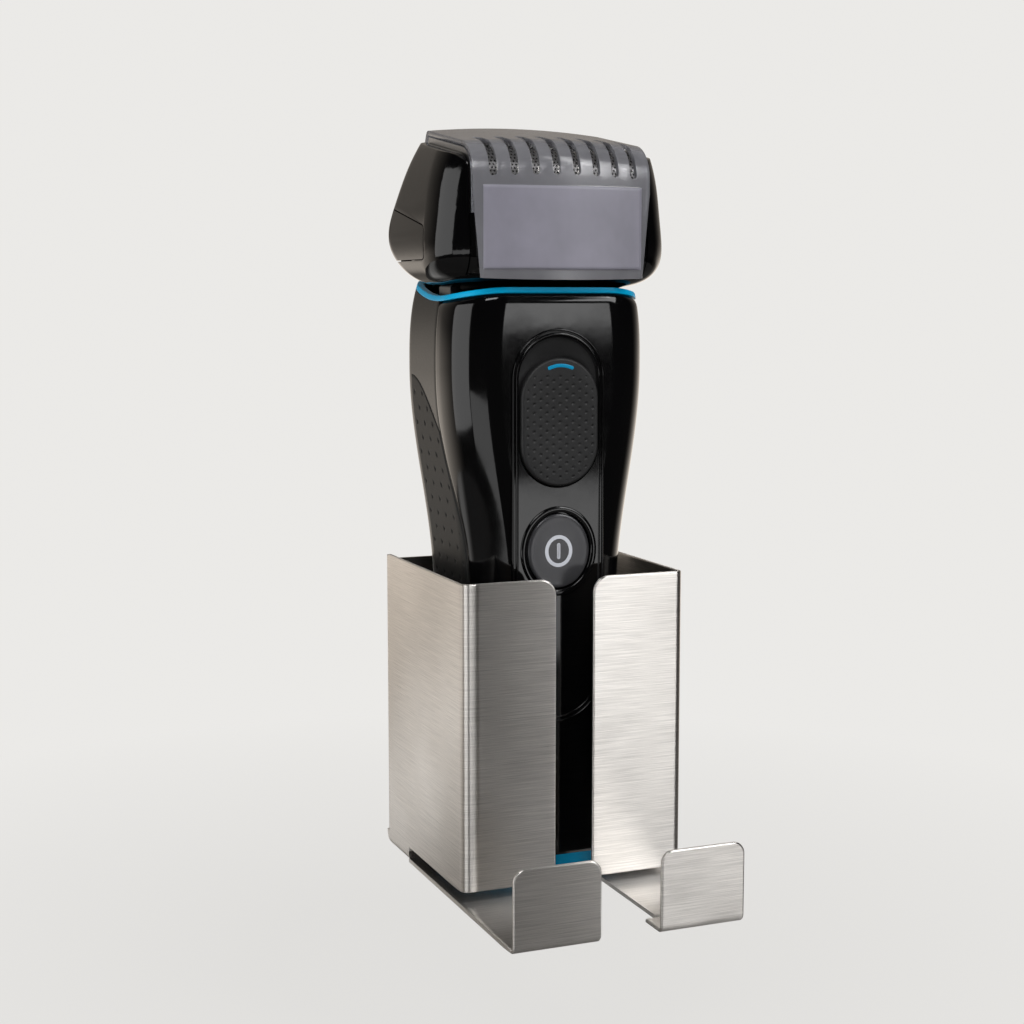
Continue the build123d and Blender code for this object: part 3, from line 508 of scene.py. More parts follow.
STEEL = Finish("brushed_steel", (0.66, 0.635, 0.605), 0.33, Grain.BRUSHED, metallic=1.0, anisotropic=1.0,
               spread=0.26)
FOAM = Finish("foam_pad", (0.11, 0.11, 0.11), 0.9, Grain.FOAM, spread=0.3)
PIANO_BLACK = Finish("gloss_black", (0.002, 0.002, 0.0023), 0.055, Grain.GLOSS, specular=0.38)
SATIN_BLACK = Finish("satin_black", (0.012, 0.012, 0.0115), 0.3, Grain.SATIN, specular=0.25)
GRIP_RUBBER = Finish("grip_rubber", (0.009, 0.0095, 0.0095), 0.55, Grain.RUBBER, specular=0.25)
SLIDER_RUBBER = Finish("slider_rubber", (0.013, 0.013, 0.0135), 0.5, Grain.RUBBER, specular=0.35)
CYAN = Finish("cyan_plastic", (0.0, 0.26, 0.48), 0.3, Grain.GLOSS, specular=0.15, spread=0.05)
# Painted light: the neck ring takes a lighter copy of the cyan plastic, brightened to make up for the shade
# that the head casts on it.
RING_CYAN_PAINTED_LIGHT = Finish("ring_cyan_painted_light", (0.0, 0.48, 0.86), 0.3, Grain.GLOSS, specular=0.15, spread=0.05,
                   shared_slot="cyan_plastic")
BUTTON_GREY = Finish("button_grey", (0.05, 0.05, 0.054), 0.22, Grain.GLOSS, metallic=0.3)
ICON_PALE = Finish("icon_pale", (0.66, 0.68, 0.74), 0.4, Grain.SATIN, spread=0.04, shared_slot="button_grey")
SOCKET_BLACK = Finish("socket_plastic", (0.025, 0.025, 0.025), 0.5, Grain.SATIN)
BRASS = Finish("contact_brass", (0.80, 0.58, 0.25), 0.25, Grain.GROUND, metallic=1.0)
CHASSIS = Finish("chassis_plastic", (0.5, 0.51, 0.52), 0.5, Grain.SATIN)
WRAP = Finish("battery_wrap", (0.07, 0.26, 0.12), 0.35, Grain.GLOSS)
BOARD = Finish("board_green", (0.01, 0.12, 0.05), 0.4, Grain.BOARD)
SWITCH = Finish("switch_black", (0.03, 0.03, 0.03), 0.45, Grain.SATIN)
ZINC = Finish("screw_steel", (0.66, 0.66, 0.66), 0.28, Grain.GROUND, metallic=1.0)
PIN_STEEL = Finish("pin_steel", (0.7, 0.7, 0.7), 0.2, Grain.GROUND, metallic=1.0)
YOKE = Finish("yoke_plastic", (0.016, 0.016, 0.017), 0.35, Grain.SATIN)
BLADE = Finish("blade_steel", (0.72, 0.72, 0.73), 0.2, Grain.GROUND, metallic=1.0)
IRON = Finish("core_iron", (0.2, 0.2, 0.21), 0.5, Grain.GROUND, metallic=1.0)
COPPER = Finish("coil_copper", (0.62, 0.26, 0.1), 0.35, Grain.WIRE, metallic=1.0)
SILVER = Finish("cassette_silver", (0.5, 0.51, 0.53), 0.3, Grain.GROUND, metallic=1.0, spread=0.03)
FOIL = Finish("foil_nickel", (0.55, 0.54, 0.52), 0.2, Grain.FOIL, metallic=1.0)
SMOKED = Finish("smoked_clear", (0.32, 0.32, 0.345), 0.16, Grain.SMOKED, clear=0.55)
FROSTED = Finish("smoked_frosted", (0.335, 0.325, 0.39), 0.42, Grain.SMOKED, clear=0.3,
                 shared_slot="smoked_clear")

PLAIN_NODES = (
    (FOAM, ("adhesive_pad",)),
    (SOCKET_BLACK, ("charging_socket", "button_stem", "slider_carrier")),
    (BRASS, ("socket_pins",)),
    (CHASSIS, ("inner_chassis",)),
    (WRAP, ("battery_cell",)),
    (BOARD, ("circuit_board",)),
    (SWITCH, ("power_switch",)),
    (ZINC, ("chassis_screws",)),
    (PIN_STEEL, ("pivot_pins", "drive_pins")),
    (BLADE, ("trimmer_comb", "trimmer_cutter", "front_cutter", "rear_cutter", "middle_cutter")),
    (IRON, ("motor_stator", "motor_armature")),
    (COPPER, ("motor_coils",)),
    (FOIL, ("front_foil", "rear_foil", "middle_trimmer")),
)


def shown(name: str, data: bpy.types.ID) -> bpy.types.Object:
    """Adds an object with the given mesh, camera or lamp to the scene.

    Args:
        name: the object's name.
        data: what it holds.

    Returns:
        The new object.
    """
    made = bpy.data.objects.new(name, data)
    bpy.context.scene.collection.objects.link(made)
    return made


@dataclass
class Workshop:
    """Makes materials once and turns point grids into pieces of the scene; distances are in metres."""

    merge: float = 2e-6
    merge_packed: float = 1e-6
    sliver: float = 1e-7
    flat_angle: float = 0.4
    made: dict = field(default_factory=dict)

    def material(self, finish: Finish) -> bpy.types.Material:
        """Finds the material of a finish, or makes it at its first use.

        Args:
            finish: the finish.

        Returns:
            The material.
        """
        if finish.name not in self.made:
            self.made[finish.name] = finish.build()
        return self.made[finish.name]

    def dress(self, piece: bpy.types.Object, *finishes: Finish) -> None:
        """Puts finishes into an object's material slots, in order.

        Clearing a mesh's slots also sets the slot numbers of its faces back, so a mesh without
        slots is left as it is.

        Args:
            piece: the object.
            finishes: its finishes.
        """
        if piece.data.materials:
            piece.data.materials.clear()
        for finish in finishes:
            piece.data.materials.append(self.material(finish))

    def piece(self, name: str, points: np.ndarray, faces: np.ndarray, body: str, finishes: tuple,
              replaces: tuple = (), closed: bool = True, zones: np.ndarray | None = None,
              sharp: float = 38.0) -> bpy.types.Object:
        """Makes one piece of the shaver from points and quads.

        Args:
            name: the piece's name.
            points: its points, in millimetres, in the shaver's frame.
            faces: rows of four point numbers.
            body: the body that it rides on.
            finishes: its finishes, in the order of its material slots.
            replaces: the nodes that it stands for.
            closed: whether it is a closed solid, whose faces are turned outwards.
            zones: the number of the finish of each face.
            sharp: the angle in degrees past which an edge stays sharp.

        Returns:
            The new object.
        """
        mesh = bpy.data.meshes.new(name)
        mesh.from_pydata(((points.reshape(-1, 3) + SHAVER_AT) * MM).tolist(), [], faces.tolist())
        if zones is not None:
            mesh.polygons.foreach_set("material_index", zones.astype(np.int32))
        work = bmesh.new()
        work.from_mesh(mesh)
        bmesh.ops.remove_doubles(work, verts=work.verts, dist=self.merge)
        bmesh.ops.dissolve_degenerate(work, dist=self.sliver, edges=work.edges)
        if closed:
            bmesh.ops.recalc_face_normals(work, faces=work.faces)
        work.to_mesh(mesh)
        work.free()
        self.smooth(mesh, sharp)
        piece = shown(name, mesh)
        self.dress(piece, *finishes)
        return self.place(piece, body, finishes[0], replaces)

    def place(self, piece: bpy.types.Object, body: str, finish: Finish, replaces: tuple) -> bpy.types.Object:
        """Rides a piece on its body and hides what it stands for.

        Args:
            piece: the piece.
            body: the body that it rides on.
            finish: not used.
            replaces: the nodes that it stands for.

        Returns:
            The piece.
        """
        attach(piece, body)
        if replaces:
            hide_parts(*replaces)
        log.info("piece %s: %d faces on %s", piece.name, len(piece.data.polygons), body)
        return piece

    def smooth(self, mesh: bpy.types.Mesh, angle: float) -> None:
        """Shades a mesh smooth up to an angle.

        Args:
            mesh: the mesh.
            angle: the angle in degrees past which an edge stays sharp.
        """
        mesh.polygons.foreach_set("use_smooth", np.ones(len(mesh.polygons), bool))
        mesh.set_sharp_from_angle(angle=math.radians(angle))
        mesh.update()

    def refined(self, node: str, body: str, finish: Finish, bevel: float, name: str, limit: float = 32.0,
                segments: int = 3, clamp: bool = True) -> bpy.types.Object:
        """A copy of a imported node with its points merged, flat faces joined and edges rounded.

        Args:
            node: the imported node.
            body: the body that it rides on.
            finish: its finish.
            bevel: the radius of its rounded edges, in millimetres.
            name: the copy's name.
            limit: the angle in degrees past which an edge is rounded.
            segments: how many faces cross a rounded edge.
            clamp: whether short edges hold the rounding back.

        Returns:
            The copy, which stands for the node.
        """
        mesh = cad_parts[node].data.copy()
        work = bmesh.new()
        work.from_mesh(mesh)
        bmesh.ops.remove_doubles(work, verts=work.verts, dist=self.merge_packed)
        flat = math.radians(self.flat_angle)
        bmesh.ops.dissolve_limit(work, angle_limit=flat, verts=work.verts, edges=work.edges)
        work.to_mesh(mesh)
        work.free()
        piece = shown(name, mesh)
        self.smooth(mesh, limit)
        if bevel:
            edges = piece.modifiers.new("rounded edges", "BEVEL")
            edges.width, edges.segments, edges.limit_method = bevel * MM, segments, "ANGLE"
            edges.angle_limit, edges.harden_normals = math.radians(limit), True
            edges.use_clamp_overlap = clamp
        self.dress(piece, finish)
        return self.place(piece, body, finish, (node,))


def quads(numbers: np.ndarray, flip: bool = False) -> np.ndarray:
    """Quads over a grid of point numbers: each joins a point to its right and upper neighbours.

    Args:
        numbers: point numbers, rows by columns; a repeated first row or column closes the grid.
        flip: whether the quads face the other way.

    Returns:
        Rows of four point numbers.
    """
    corners = numbers[:-1, :-1], numbers[:-1, 1:], numbers[1:, 1:], numbers[1:, :-1]
    made = np.stack(corners, -1).reshape(-1, 4)
    return made[:, ::-1] if flip else made


def numbered(rows: int, columns: int, close_rows: bool = False, close_columns: bool = False) -> np.ndarray:
    """Point numbers of a grid, with its first row or column repeated at the end where it closes.

    Args:
        rows: how many rows the grid has.
        columns: how many columns it has.
        close_rows: whether its last row meets its first.
        close_columns: whether its last column meets its first.

    Returns:
        The numbers, rows by columns.
    """
    numbers = np.arange(rows * columns).reshape(rows, columns)
    if close_columns:
        numbers = np.concatenate([numbers, numbers[:, :1]], 1)
    if close_rows:
        numbers = np.concatenate([numbers, numbers[:1]], 0)
    return numbers


def hoop(grid: np.ndarray) -> np.ndarray:
    """Quads over a grid of points that closes both ways, as a profile carried round a ring does."""
    return quads(numbered(*grid.shape[:2], close_rows=True, close_columns=True))


def between(outer: np.ndarray, inner: np.ndarray) -> tuple[np.ndarray, np.ndarray]:
    """Closed solid between two grids of the same shape, joined along their borders.

    Args:
        outer: points of the outer grid, rows by columns by three.
        inner: points of the inner grid.

    Returns:
        The points and the quads.
    """
    rows, columns = outer.shape[:2]
    numbers = numbered(rows, columns)
    border = np.concatenate([numbers[0], numbers[1:, -1], numbers[-1, -2::-1], numbers[-2:0:-1, 0]])
    after, count = np.roll(border, -1), rows * columns
    rim = np.stack([border, border + count, after + count, after], -1)
    points = np.concatenate([outer.reshape(-1, 3), inner.reshape(-1, 3)])
    return points, np.concatenate([quads(numbers), quads(numbers + count, flip=True), rim])


def joined(sheets: list) -> tuple[np.ndarray, np.ndarray]:
    """Several sheets as one: the point numbers of each are raised by the count of points before it.

    Args:
        sheets: the points and the quads of each sheet.

    Returns:
        The points and the quads.
    """
    starts = np.cumsum([0] + [points.size // 3 for points, _ in sheets])
    points = np.concatenate([points.reshape(-1, 3) for points, _ in sheets])
    return points, np.concatenate([faces + start for (_, faces), start in zip(sheets, starts)])


def ease(values: np.ndarray) -> np.ndarray:
    """Smooth step from 0 to 1 of values clipped to that range: three squares less two cubes."""
    clipped = np.clip(values, 0.0, 1.0)
    return clipped * clipped * (3.0 - 2.0 * clipped)


def rounding(share: np.ndarray) -> np.ndarray:
    """Fall of a round edge over its radius: a quarter circle from 1 at the border to 0 at share 1."""
    return 1 - np.sqrt(np.clip(1 - (1 - np.clip(share, 0, 1)) ** 2, 0, 1))


def spot_lattice(x: np.ndarray, z: np.ndarray, pitch_x: float, pitch_z: float, radius: float) -> np.ndarray:
    """Depth share of staggered round dimples at each point.

    A point's place in its row gives the nearest dimple centre; every second row is shifted by half
    a pitch. The share falls from 1 at a centre to 0 at the radius as a smooth bowl.

    Args:
        x: first coordinates, in millimetres.
        z: second coordinates.
        pitch_x: distance between dimples of one row.
        pitch_z: distance between rows.
        radius: radius of a dimple.

    Returns:
        Values from 0 to 1.
    """
    row = np.round(z / pitch_z)
    shift = 0.5 * (np.mod(row, 2.0))
    across = (x / pitch_x - shift) - np.round(x / pitch_x - shift)
    along = z - row * pitch_z
    return ease(1.0 - np.hypot(across * pitch_x, along) / radius)


@dataclass
class HolderSheet:
    """The folded steel sheet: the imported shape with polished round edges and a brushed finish."""

    edge: float = 0.45
    corner: float = 40.0
    half: float = 29.0
    front: float = -58.0
    bend: float = 2.0
    foot_front: float = -19.5
    back: float = -3.0
    arm_gap: float = 0.5

    def build(self, shop: Workshop) -> None:
        """Makes the sheet and its brushing map.

        Args:
            shop: the workshop that makes the piece.
        """
        piece = shop.refined("wall_bracket", "holder", STEEL, self.edge, "holder_sheet", self.corner,
                             segments=4, clamp=False)
        piece.modifiers["rounded edges"].limit_method = "WEIGHT"
        self.weigh(piece.data)
        self.brush(piece.data)

    def weigh(self, mesh: bpy.types.Mesh) -> None:
        """Marks the cut edges to round: all but those of the back plate and of the foot under it.

        Args:
            mesh: the sheet's mesh.
        """
        work = bmesh.new()
        work.from_mesh(mesh)
        weight = work.edges.layers.float.new("bevel_weight_edge")
        for edge in work.edges:
            depth = max(corner.co.y for corner in edge.verts) / MM
            limit = self.back if min(corner.co.z for corner in edge.verts) > 0 else self.foot_front
            edge[weight] = float(depth < limit and edge.calc_face_angle(0.0) > math.radians(self.corner))
        work.to_mesh(mesh)
        work.free()

    def brush(self, mesh: bpy.types.Mesh) -> None:
        """Lays the UV map along the brushing: level round the box, crosswise on the arms.

        The first axis runs along the scratches and the second across them, both in millimetres.
        Round the box the first axis is the distance from the middle of the front: across the flap,
        then radius times angle round the bend, then back along the side panel.

        Args:
            mesh: the sheet's mesh.
        """
        vertex = np.zeros(len(mesh.loops), np.int32)
        mesh.loops.foreach_get("vertex_index", vertex)
        points = np.zeros(len(mesh.vertices) * 3, np.float32)
        mesh.vertices.foreach_get("co", points)
        normals = np.zeros(len(mesh.polygons) * 3, np.float32)
        mesh.polygons.foreach_get("normal", normals)
        totals = np.zeros(len(mesh.polygons), np.int32)
        mesh.polygons.foreach_get("loop_total", totals)
        spot = points.reshape(-1, 3)[vertex] / MM
        facing = np.abs(np.repeat(normals.reshape(-1, 3), totals, axis=0))
        level = facing[:, 2] > np.maximum(facing[:, 0], facing[:, 1])
        beyond = np.maximum(np.abs(spot[:, 0]) - self.half + self.bend, 0)
        ahead = self.front + self.bend - spot[:, 1]
        path = np.minimum(np.abs(spot[:, 0]), self.half - self.bend)
        path += self.bend * np.arctan2(beyond, np.maximum(ahead, 0)) + np.maximum(-ahead, 0) * (beyond > 0)
        before_box = spot[:, 1] < self.front - self.arm_gap
        along = np.where(level | before_box, spot[:, 0], np.sign(spot[:, 0]) * path)
        across = np.where(level, spot[:, 1], spot[:, 2])
        layer = mesh.uv_layers.new(name="brush")
        layer.data.foreach_set("uv", np.stack([along, across], -1).astype(np.float32).ravel())


@dataclass
class HandleForm:
    """Outline of the shaver's handle: flat front, round corners, drawn-in waist and saddle top."""

    base_half: float = 22.6
    waist_half: float = 20.2
    shoulder_half: float = 26.3
    neck_half: float = 24.6
    waist: float = 70.0
    shoulder: float = 126.0
    height: float = 145.0
    front: float = 19.4
    rear: float = 20.0
    front_radius: float = 12.0
    rear_radius: float = 7.0
    saddle_low: float = 143.95
    saddle_middle: float = -4.0
    saddle_radius: float = 59.0
    seam_low: float = -11.0
    seam_step: float = 6.0
    seam_start: float = 82.0
    seam_climb: float = 36.0

    def half(self, z: np.ndarray) -> np.ndarray:
        """Half width: a parabola up to the waist, a smooth step to the shoulder, a cubic to the neck.

        Args:
            z: the heights.

        Returns:
            The half widths.
        """
        low = self.waist_half + (self.base_half - self.waist_half) * (1 - z / self.waist) ** 2
        climb = ease((z - self.waist) / (self.shoulder - self.waist))
        middle = self.waist_half + (self.shoulder_half - self.waist_half) * climb
        part = np.clip((z - self.shoulder) / (self.height - self.shoulder), 0, 2)
        high = self.shoulder_half - (self.shoulder_half - self.neck_half) * part ** 3
        return np.where(z < self.waist, low, np.where(z < self.shoulder, middle, high))

    def surface(self, q: np.ndarray, z: np.ndarray, inset: np.ndarray | float = 0.0) -> np.ndarray:
        """Points of the outline.

        The outline is made of straight lines and quarter circles, and each stretch takes up one
        unit of the place round it.

        Args:
            q: place round the outline: 0 at the middle of the front, 1 where the front corner starts,
                2 where the side starts, 3 and 4 for the rear corner, 5 at the middle of the back;
                negative on the left, and past 5 it comes back along the left side.
            z: height of each point.
            inset: how far the outline is drawn in, in millimetres.

        Returns:
            Points, with a last axis of three.
        """
        q, z, inset = np.broadcast_arrays(*(np.asarray(given, float) for given in (q, z, inset)))
        sign = np.where((q < 0) | (q > 5), -1.0, 1.0)
        place = np.where(q > 5, 10 - q, np.abs(q))
        half, front, rear = self.half(z) - inset, self.front - inset, self.rear - inset
        bow, heel = self.front_radius - inset, self.rear_radius - inset
        turn = np.clip(place - 1, 0, 1) * math.pi / 2
        turn_back = np.clip(place - 3, 0, 1) * math.pi / 2
        x = (half - bow) * np.clip(place, 0, 1) + bow * np.sin(turn)
        x = x - heel * (1 - np.cos(turn_back)) - (half - heel) * np.clip(place - 4, 0, 1)
        side = front + rear - bow - heel
        y = -front + bow * (1 - np.cos(turn)) + side * np.clip(place - 2, 0, 1) + heel * np.sin(turn_back)
        return np.stack([sign * x, y, z], -1)

    def place_of(self, y: np.ndarray) -> np.ndarray:
        """Place round the outline of a point of the side: the front corner's angle, or the share of the side.

        Args:
            y: the point's depth.

        Returns:
            The place, from 1 to 3.
        """
        bow_end = -self.front + self.front_radius
        turn = np.arccos(np.clip((bow_end - y) / self.front_radius, 0, 1)) / (math.pi / 2)
        side = self.front + self.rear - self.front_radius - self.rear_radius
        return np.where(y < bow_end, 1 + turn, 2 + (y - bow_end) / side)

    def saddle(self, y: np.ndarray) -> np.ndarray:
        """Height of the handle's top at each depth: the lower side of a wide level cylinder."""
        drop = np.sqrt(self.saddle_radius ** 2 - (y - self.saddle_middle) ** 2)
        return self.saddle_low + self.saddle_radius - drop

    def seam(self, z: np.ndarray) -> np.ndarray:
        """Depth of the seam between the shells: a smooth step from the lower to the upper line."""
        return self.seam_low + self.seam_step * ease((z - self.seam_start) / self.seam_climb)


@dataclass
class HandleShells:
    """Gloss front shell, satin rear shell, dotted grips, coloured neck ring and foot cap."""

    form: HandleForm
    rows: int = 200
    front_columns: int = 161
    rear_columns: int = 241
    grip_columns: int = 74
    grip_rows: int = 330
    ring_columns: int = 320
    foot: float = 6.0
    ring: float = 1.4
    ring_wall: float = 1.8
    wall: float = 1.8
    seam_gap: float = 0.05
    tuck: float = 0.12
    roll: float = 2.2
    roll_share: float = 0.45
    panel_middle: float = 88.0
    panel_straight: float = 36.0
    tray_half: float = 10.9
    tray_depth: float = 2.4
    tray_step: float = 0.6
    bed: float = 0.9
    bed_margin: tuple = (1.0, 0.8, 1.2, 0.8)
    grip_foot: float = 9.0
    grip_front: float = -5.4
    grip_rear: float = 12.5
    grip_front_top: float = 110.5
    grip_rise: float = 14.0
    grip_width: float = 22.0
    grip_length: float = 110.0
    grip_gap: float = 0.3
    grip_proud: float = 0.16
    grip_bottom: float = 0.75
    grip_edge: float = 0.6
    grip_edge_fall: float = 0.34
    grip_power: float = 1.9
    plain_border: float = 1.0
    plain_fade: float = 0.6
    dimple_depth: float = 0.42
    dimple_radius: float = 0.62
    dimple_pitch: tuple = (5.6, 3.75)
    dimple_shift: float = 0.9

    def build(self, shop: Workshop) -> None:
        """Makes the five pieces and the foot cap.

        Args:
            shop: the workshop that makes the pieces.
        """
        self.front_shell(shop)
        self.rear_shell(shop)
        for side, name in ((-1.0, "left_grip"), (1.0, "right_grip")):
            self.grip(shop, side, name)
        self.neck_ring(shop)
        shop.refined("bottom_cap", "handle", CYAN, 0.0, "foot_cap")

    def heights(self, places: np.ndarray) -> np.ndarray:
        """Heights of a shell's points: from the foot cap up to the saddle, one column for each place."""
        top = self.form.saddle(self.form.surface(places, self.form.height - self.ring)[..., 1]) - self.ring
        return self.foot + np.linspace(0, 1, self.rows)[:, None] * (top - self.foot)

    def front_shell(self, shop: Workshop) -> None:
        """Gloss shell from seam to seam across the front, with a tray under the panel and a rolled top edge.

        The tray is a smooth step of the distance to the panel's middle line. The top edge falls off
        as a quarter ellipse of the distance to it, and the shell is drawn in a little at the seams.

        Args:
            shop: the workshop that makes the piece.
        """
        share = np.linspace(-1, 1, self.front_columns)
        z = self.heights(share * self.form.place_of(self.form.seam(np.array(self.form.height))))
        q = share * self.form.place_of(self.form.seam(z) - self.seam_gap)
        tuck = self.tuck * ease((np.abs(share) - 0.985) / 0.015)
        roll = self.roll_share * self.roll * rounding((z[-1] - z) / self.roll)
        place = self.form.surface(q, z)
        under = np.hypot(place[..., 0], np.maximum(np.abs(z - self.panel_middle) - self.panel_straight, 0))
        tray = self.tray_depth * ease((self.tray_half - under) / self.tray_step) * (place[..., 1] < 0)
        outer = self.form.surface(q, z, np.maximum(tuck, roll) + tray)
        points, faces = between(outer, self.form.surface(q, z, self.wall + tray))
        shop.piece("front_shell_gloss", points, faces, "handle", (PIANO_BLACK,), ("front_shell",))

    def rear_shell(self, shop: Workshop) -> None:
        """Satin shell round the back, sunk a little under the grips.

        How far a point lies inside a grip's outline is the least of its distances to the four
        sides; the bed is a smooth step of it.

        Args:
            shop: the workshop that makes the piece.
        """
        share = np.linspace(0, 1, self.rear_columns)
        seam_top = self.form.place_of(self.form.seam(np.array(self.form.height)))
        z = self.heights(seam_top + share * (10 - 2 * seam_top))
        start = self.form.place_of(self.form.seam(z) + self.seam_gap)
        q = start + share * (10 - 2 * start)
        y = self.form.surface(q, z)[..., 1]
        seam, rear, top, low = self.bed_margin
        inside = np.minimum.reduce([y - self.form.seam(z) - seam, self.grip_rear - rear - y,
                                    self.lean(y) - top - z, z - self.grip_foot - low])
        tuck = self.tuck * ease((np.abs(2 * share - 1) - 0.99) / 0.01)
        outer = self.form.surface(q, z, self.bed * ease(inside) + tuck)
        points, faces = between(outer, self.form.surface(q, z, self.wall))
        shop.piece("rear_shell_satin", points, faces, "handle", (SATIN_BLACK,), ("rear_shell",))

    def lean(self, y: np.ndarray) -> np.ndarray:
        """Height of a grip's upper edge: a power curve from the seam that levels out at the back.

        Args:
            y: the depths.

        Returns:
            The heights.
        """
        start = self.grip_front - self.grip_gap
        share = np.clip((y - start) / (self.grip_rear - start), 0, 1)
        return self.grip_front_top + self.grip_rise * (1 - (1 - share) ** self.grip_power)

    def grip(self, shop: Workshop, side: float, name: str) -> None:
        """One soft grip with round edges and staggered dimples.

        The grid runs from the seam to the rear edge and from the foot to the upper edge. Its border
        falls off as a quarter circle, and the dimples fade out before it.

        Args:
            shop: the workshop that makes the piece.
            side: -1 for the left side, 1 for the right.
            name: the node that the grip stands for.
        """
        wide, long = self.grip_width, self.grip_length
        edge = np.array([0.0, 0.08, 0.2, 0.38, 0.6])
        columns = np.linspace(0.045, 0.955, self.grip_columns)
        rows = np.linspace(0.0085, 0.9915, self.grip_rows)
        across = np.concatenate([edge / wide, columns, 1 - edge[::-1] / wide])
        up = np.concatenate([edge / long, rows, 1 - edge[::-1] / long])
        u, v = np.meshgrid(across, up)
        y_at_top = self.grip_front + u * (self.grip_rear - self.grip_front)
        z = self.grip_foot + v * (self.lean(y_at_top) - self.grip_foot)
        start = self.form.seam(z) + self.grip_gap
        y = start + u * (self.grip_rear - start)
        border = np.minimum.reduce([u * wide, (1 - u) * wide, v * long, (1 - v) * long])
        fall = self.grip_edge_fall * rounding(border / self.grip_edge)
        dots = spot_lattice(y + self.dimple_shift, z, *self.dimple_pitch, self.dimple_radius)
        dimples = self.dimple_depth * dots * ease((border - self.plain_border) / self.plain_fade)
        q = side * self.form.place_of(y)
        outer = self.form.surface(q, z, fall + dimples - self.grip_proud)
        points, faces = between(outer, self.form.surface(q, z, self.grip_bottom))
        shop.piece(name + "_dotted", points, faces, "handle", (GRIP_RUBBER,), (name,))

    def neck_ring(self, shop: Workshop) -> None:
        """Coloured band along the saddle: a rounded rectangle carried round the outline. Its cyan is
        lightened as painted light against the shade that the head casts on it.

        Args:
            shop: the workshop that makes the piece.
        """
        deep, tall = self.ring_wall, self.ring
        inset = np.array([0.25, 0.06, 0.0, 0.0, 0.06, 0.3, 1.5, deep, deep])[:, None]
        rise = np.array([0.0, 0.05, 0.2, tall - 0.3, tall - 0.09, tall, tall, 1.1, 0.0])[:, None]
        q = np.linspace(0, 10, self.ring_columns, endpoint=False)[None, :]
        level = self.form.saddle(self.form.surface(q, self.form.height - 1.0, inset)[..., 1])
        z = level - tall + rise + 0.03 * (rise == 0)
        points = self.form.surface(q, z, inset)
        # painted light: the band wears the lighter copy of the cyan plastic
        shop.piece("neck_band", points, hoop(points), "handle", (RING_CYAN_PAINTED_LIGHT,), ("neck_ring",))


def stadium(count: int, half: float, low: float, high: float) -> tuple[np.ndarray, np.ndarray]:
    """Closed upright stadium seen from the front.

    Points run up the right side, over the top, down the left side and round the bottom, as
    semicircles of the half width joined by straight sides.

    Args:
        count: points on each of the four stretches.
        half: half of its width.
        low: its lowest height.
        high: its highest height.

    Returns:
        The points and the outward unit normals, as rows of (x, z).
    """
    turn = np.linspace(0, math.pi, count, endpoint=False)
    climb = np.linspace(0, 1, count, endpoint=False)
    base, top = low + half, high - half
    zero, one = np.zeros(count), np.ones(count)
    normal = np.concatenate([np.stack([one, zero], -1), np.stack([np.cos(turn), np.sin(turn)], -1),
                             np.stack([-one, zero], -1), np.stack([-np.cos(turn), -np.sin(turn)], -1)])
    centre = np.concatenate([base + climb * (top - base), top * one, top - climb * (top - base), base * one])
    return normal * half + np.stack([np.zeros(4 * count), centre], -1), normal


def carried(path: np.ndarray, normal: np.ndarray, inset: np.ndarray, depth: np.ndarray) -> np.ndarray:
    """Profile carried round a path that is seen from the front.

    Each row is the path drawn in along its normals by the profile's inset, at the profile's depth.

    Args:
        path: points (x, z) of the path.
        normal: outward normals of the path.
        inset: how far each profile point lies inside the path.
        depth: the depth (y) of each profile point.

    Returns:
        A grid of points, one row for each profile point.
    """
    flat = path[None] - inset[:, None, None] * normal[None]
    deep = np.broadcast_to(depth[:, None], flat.shape[:2])
    return np.stack([flat[..., 0], deep, flat[..., 1]], -1)


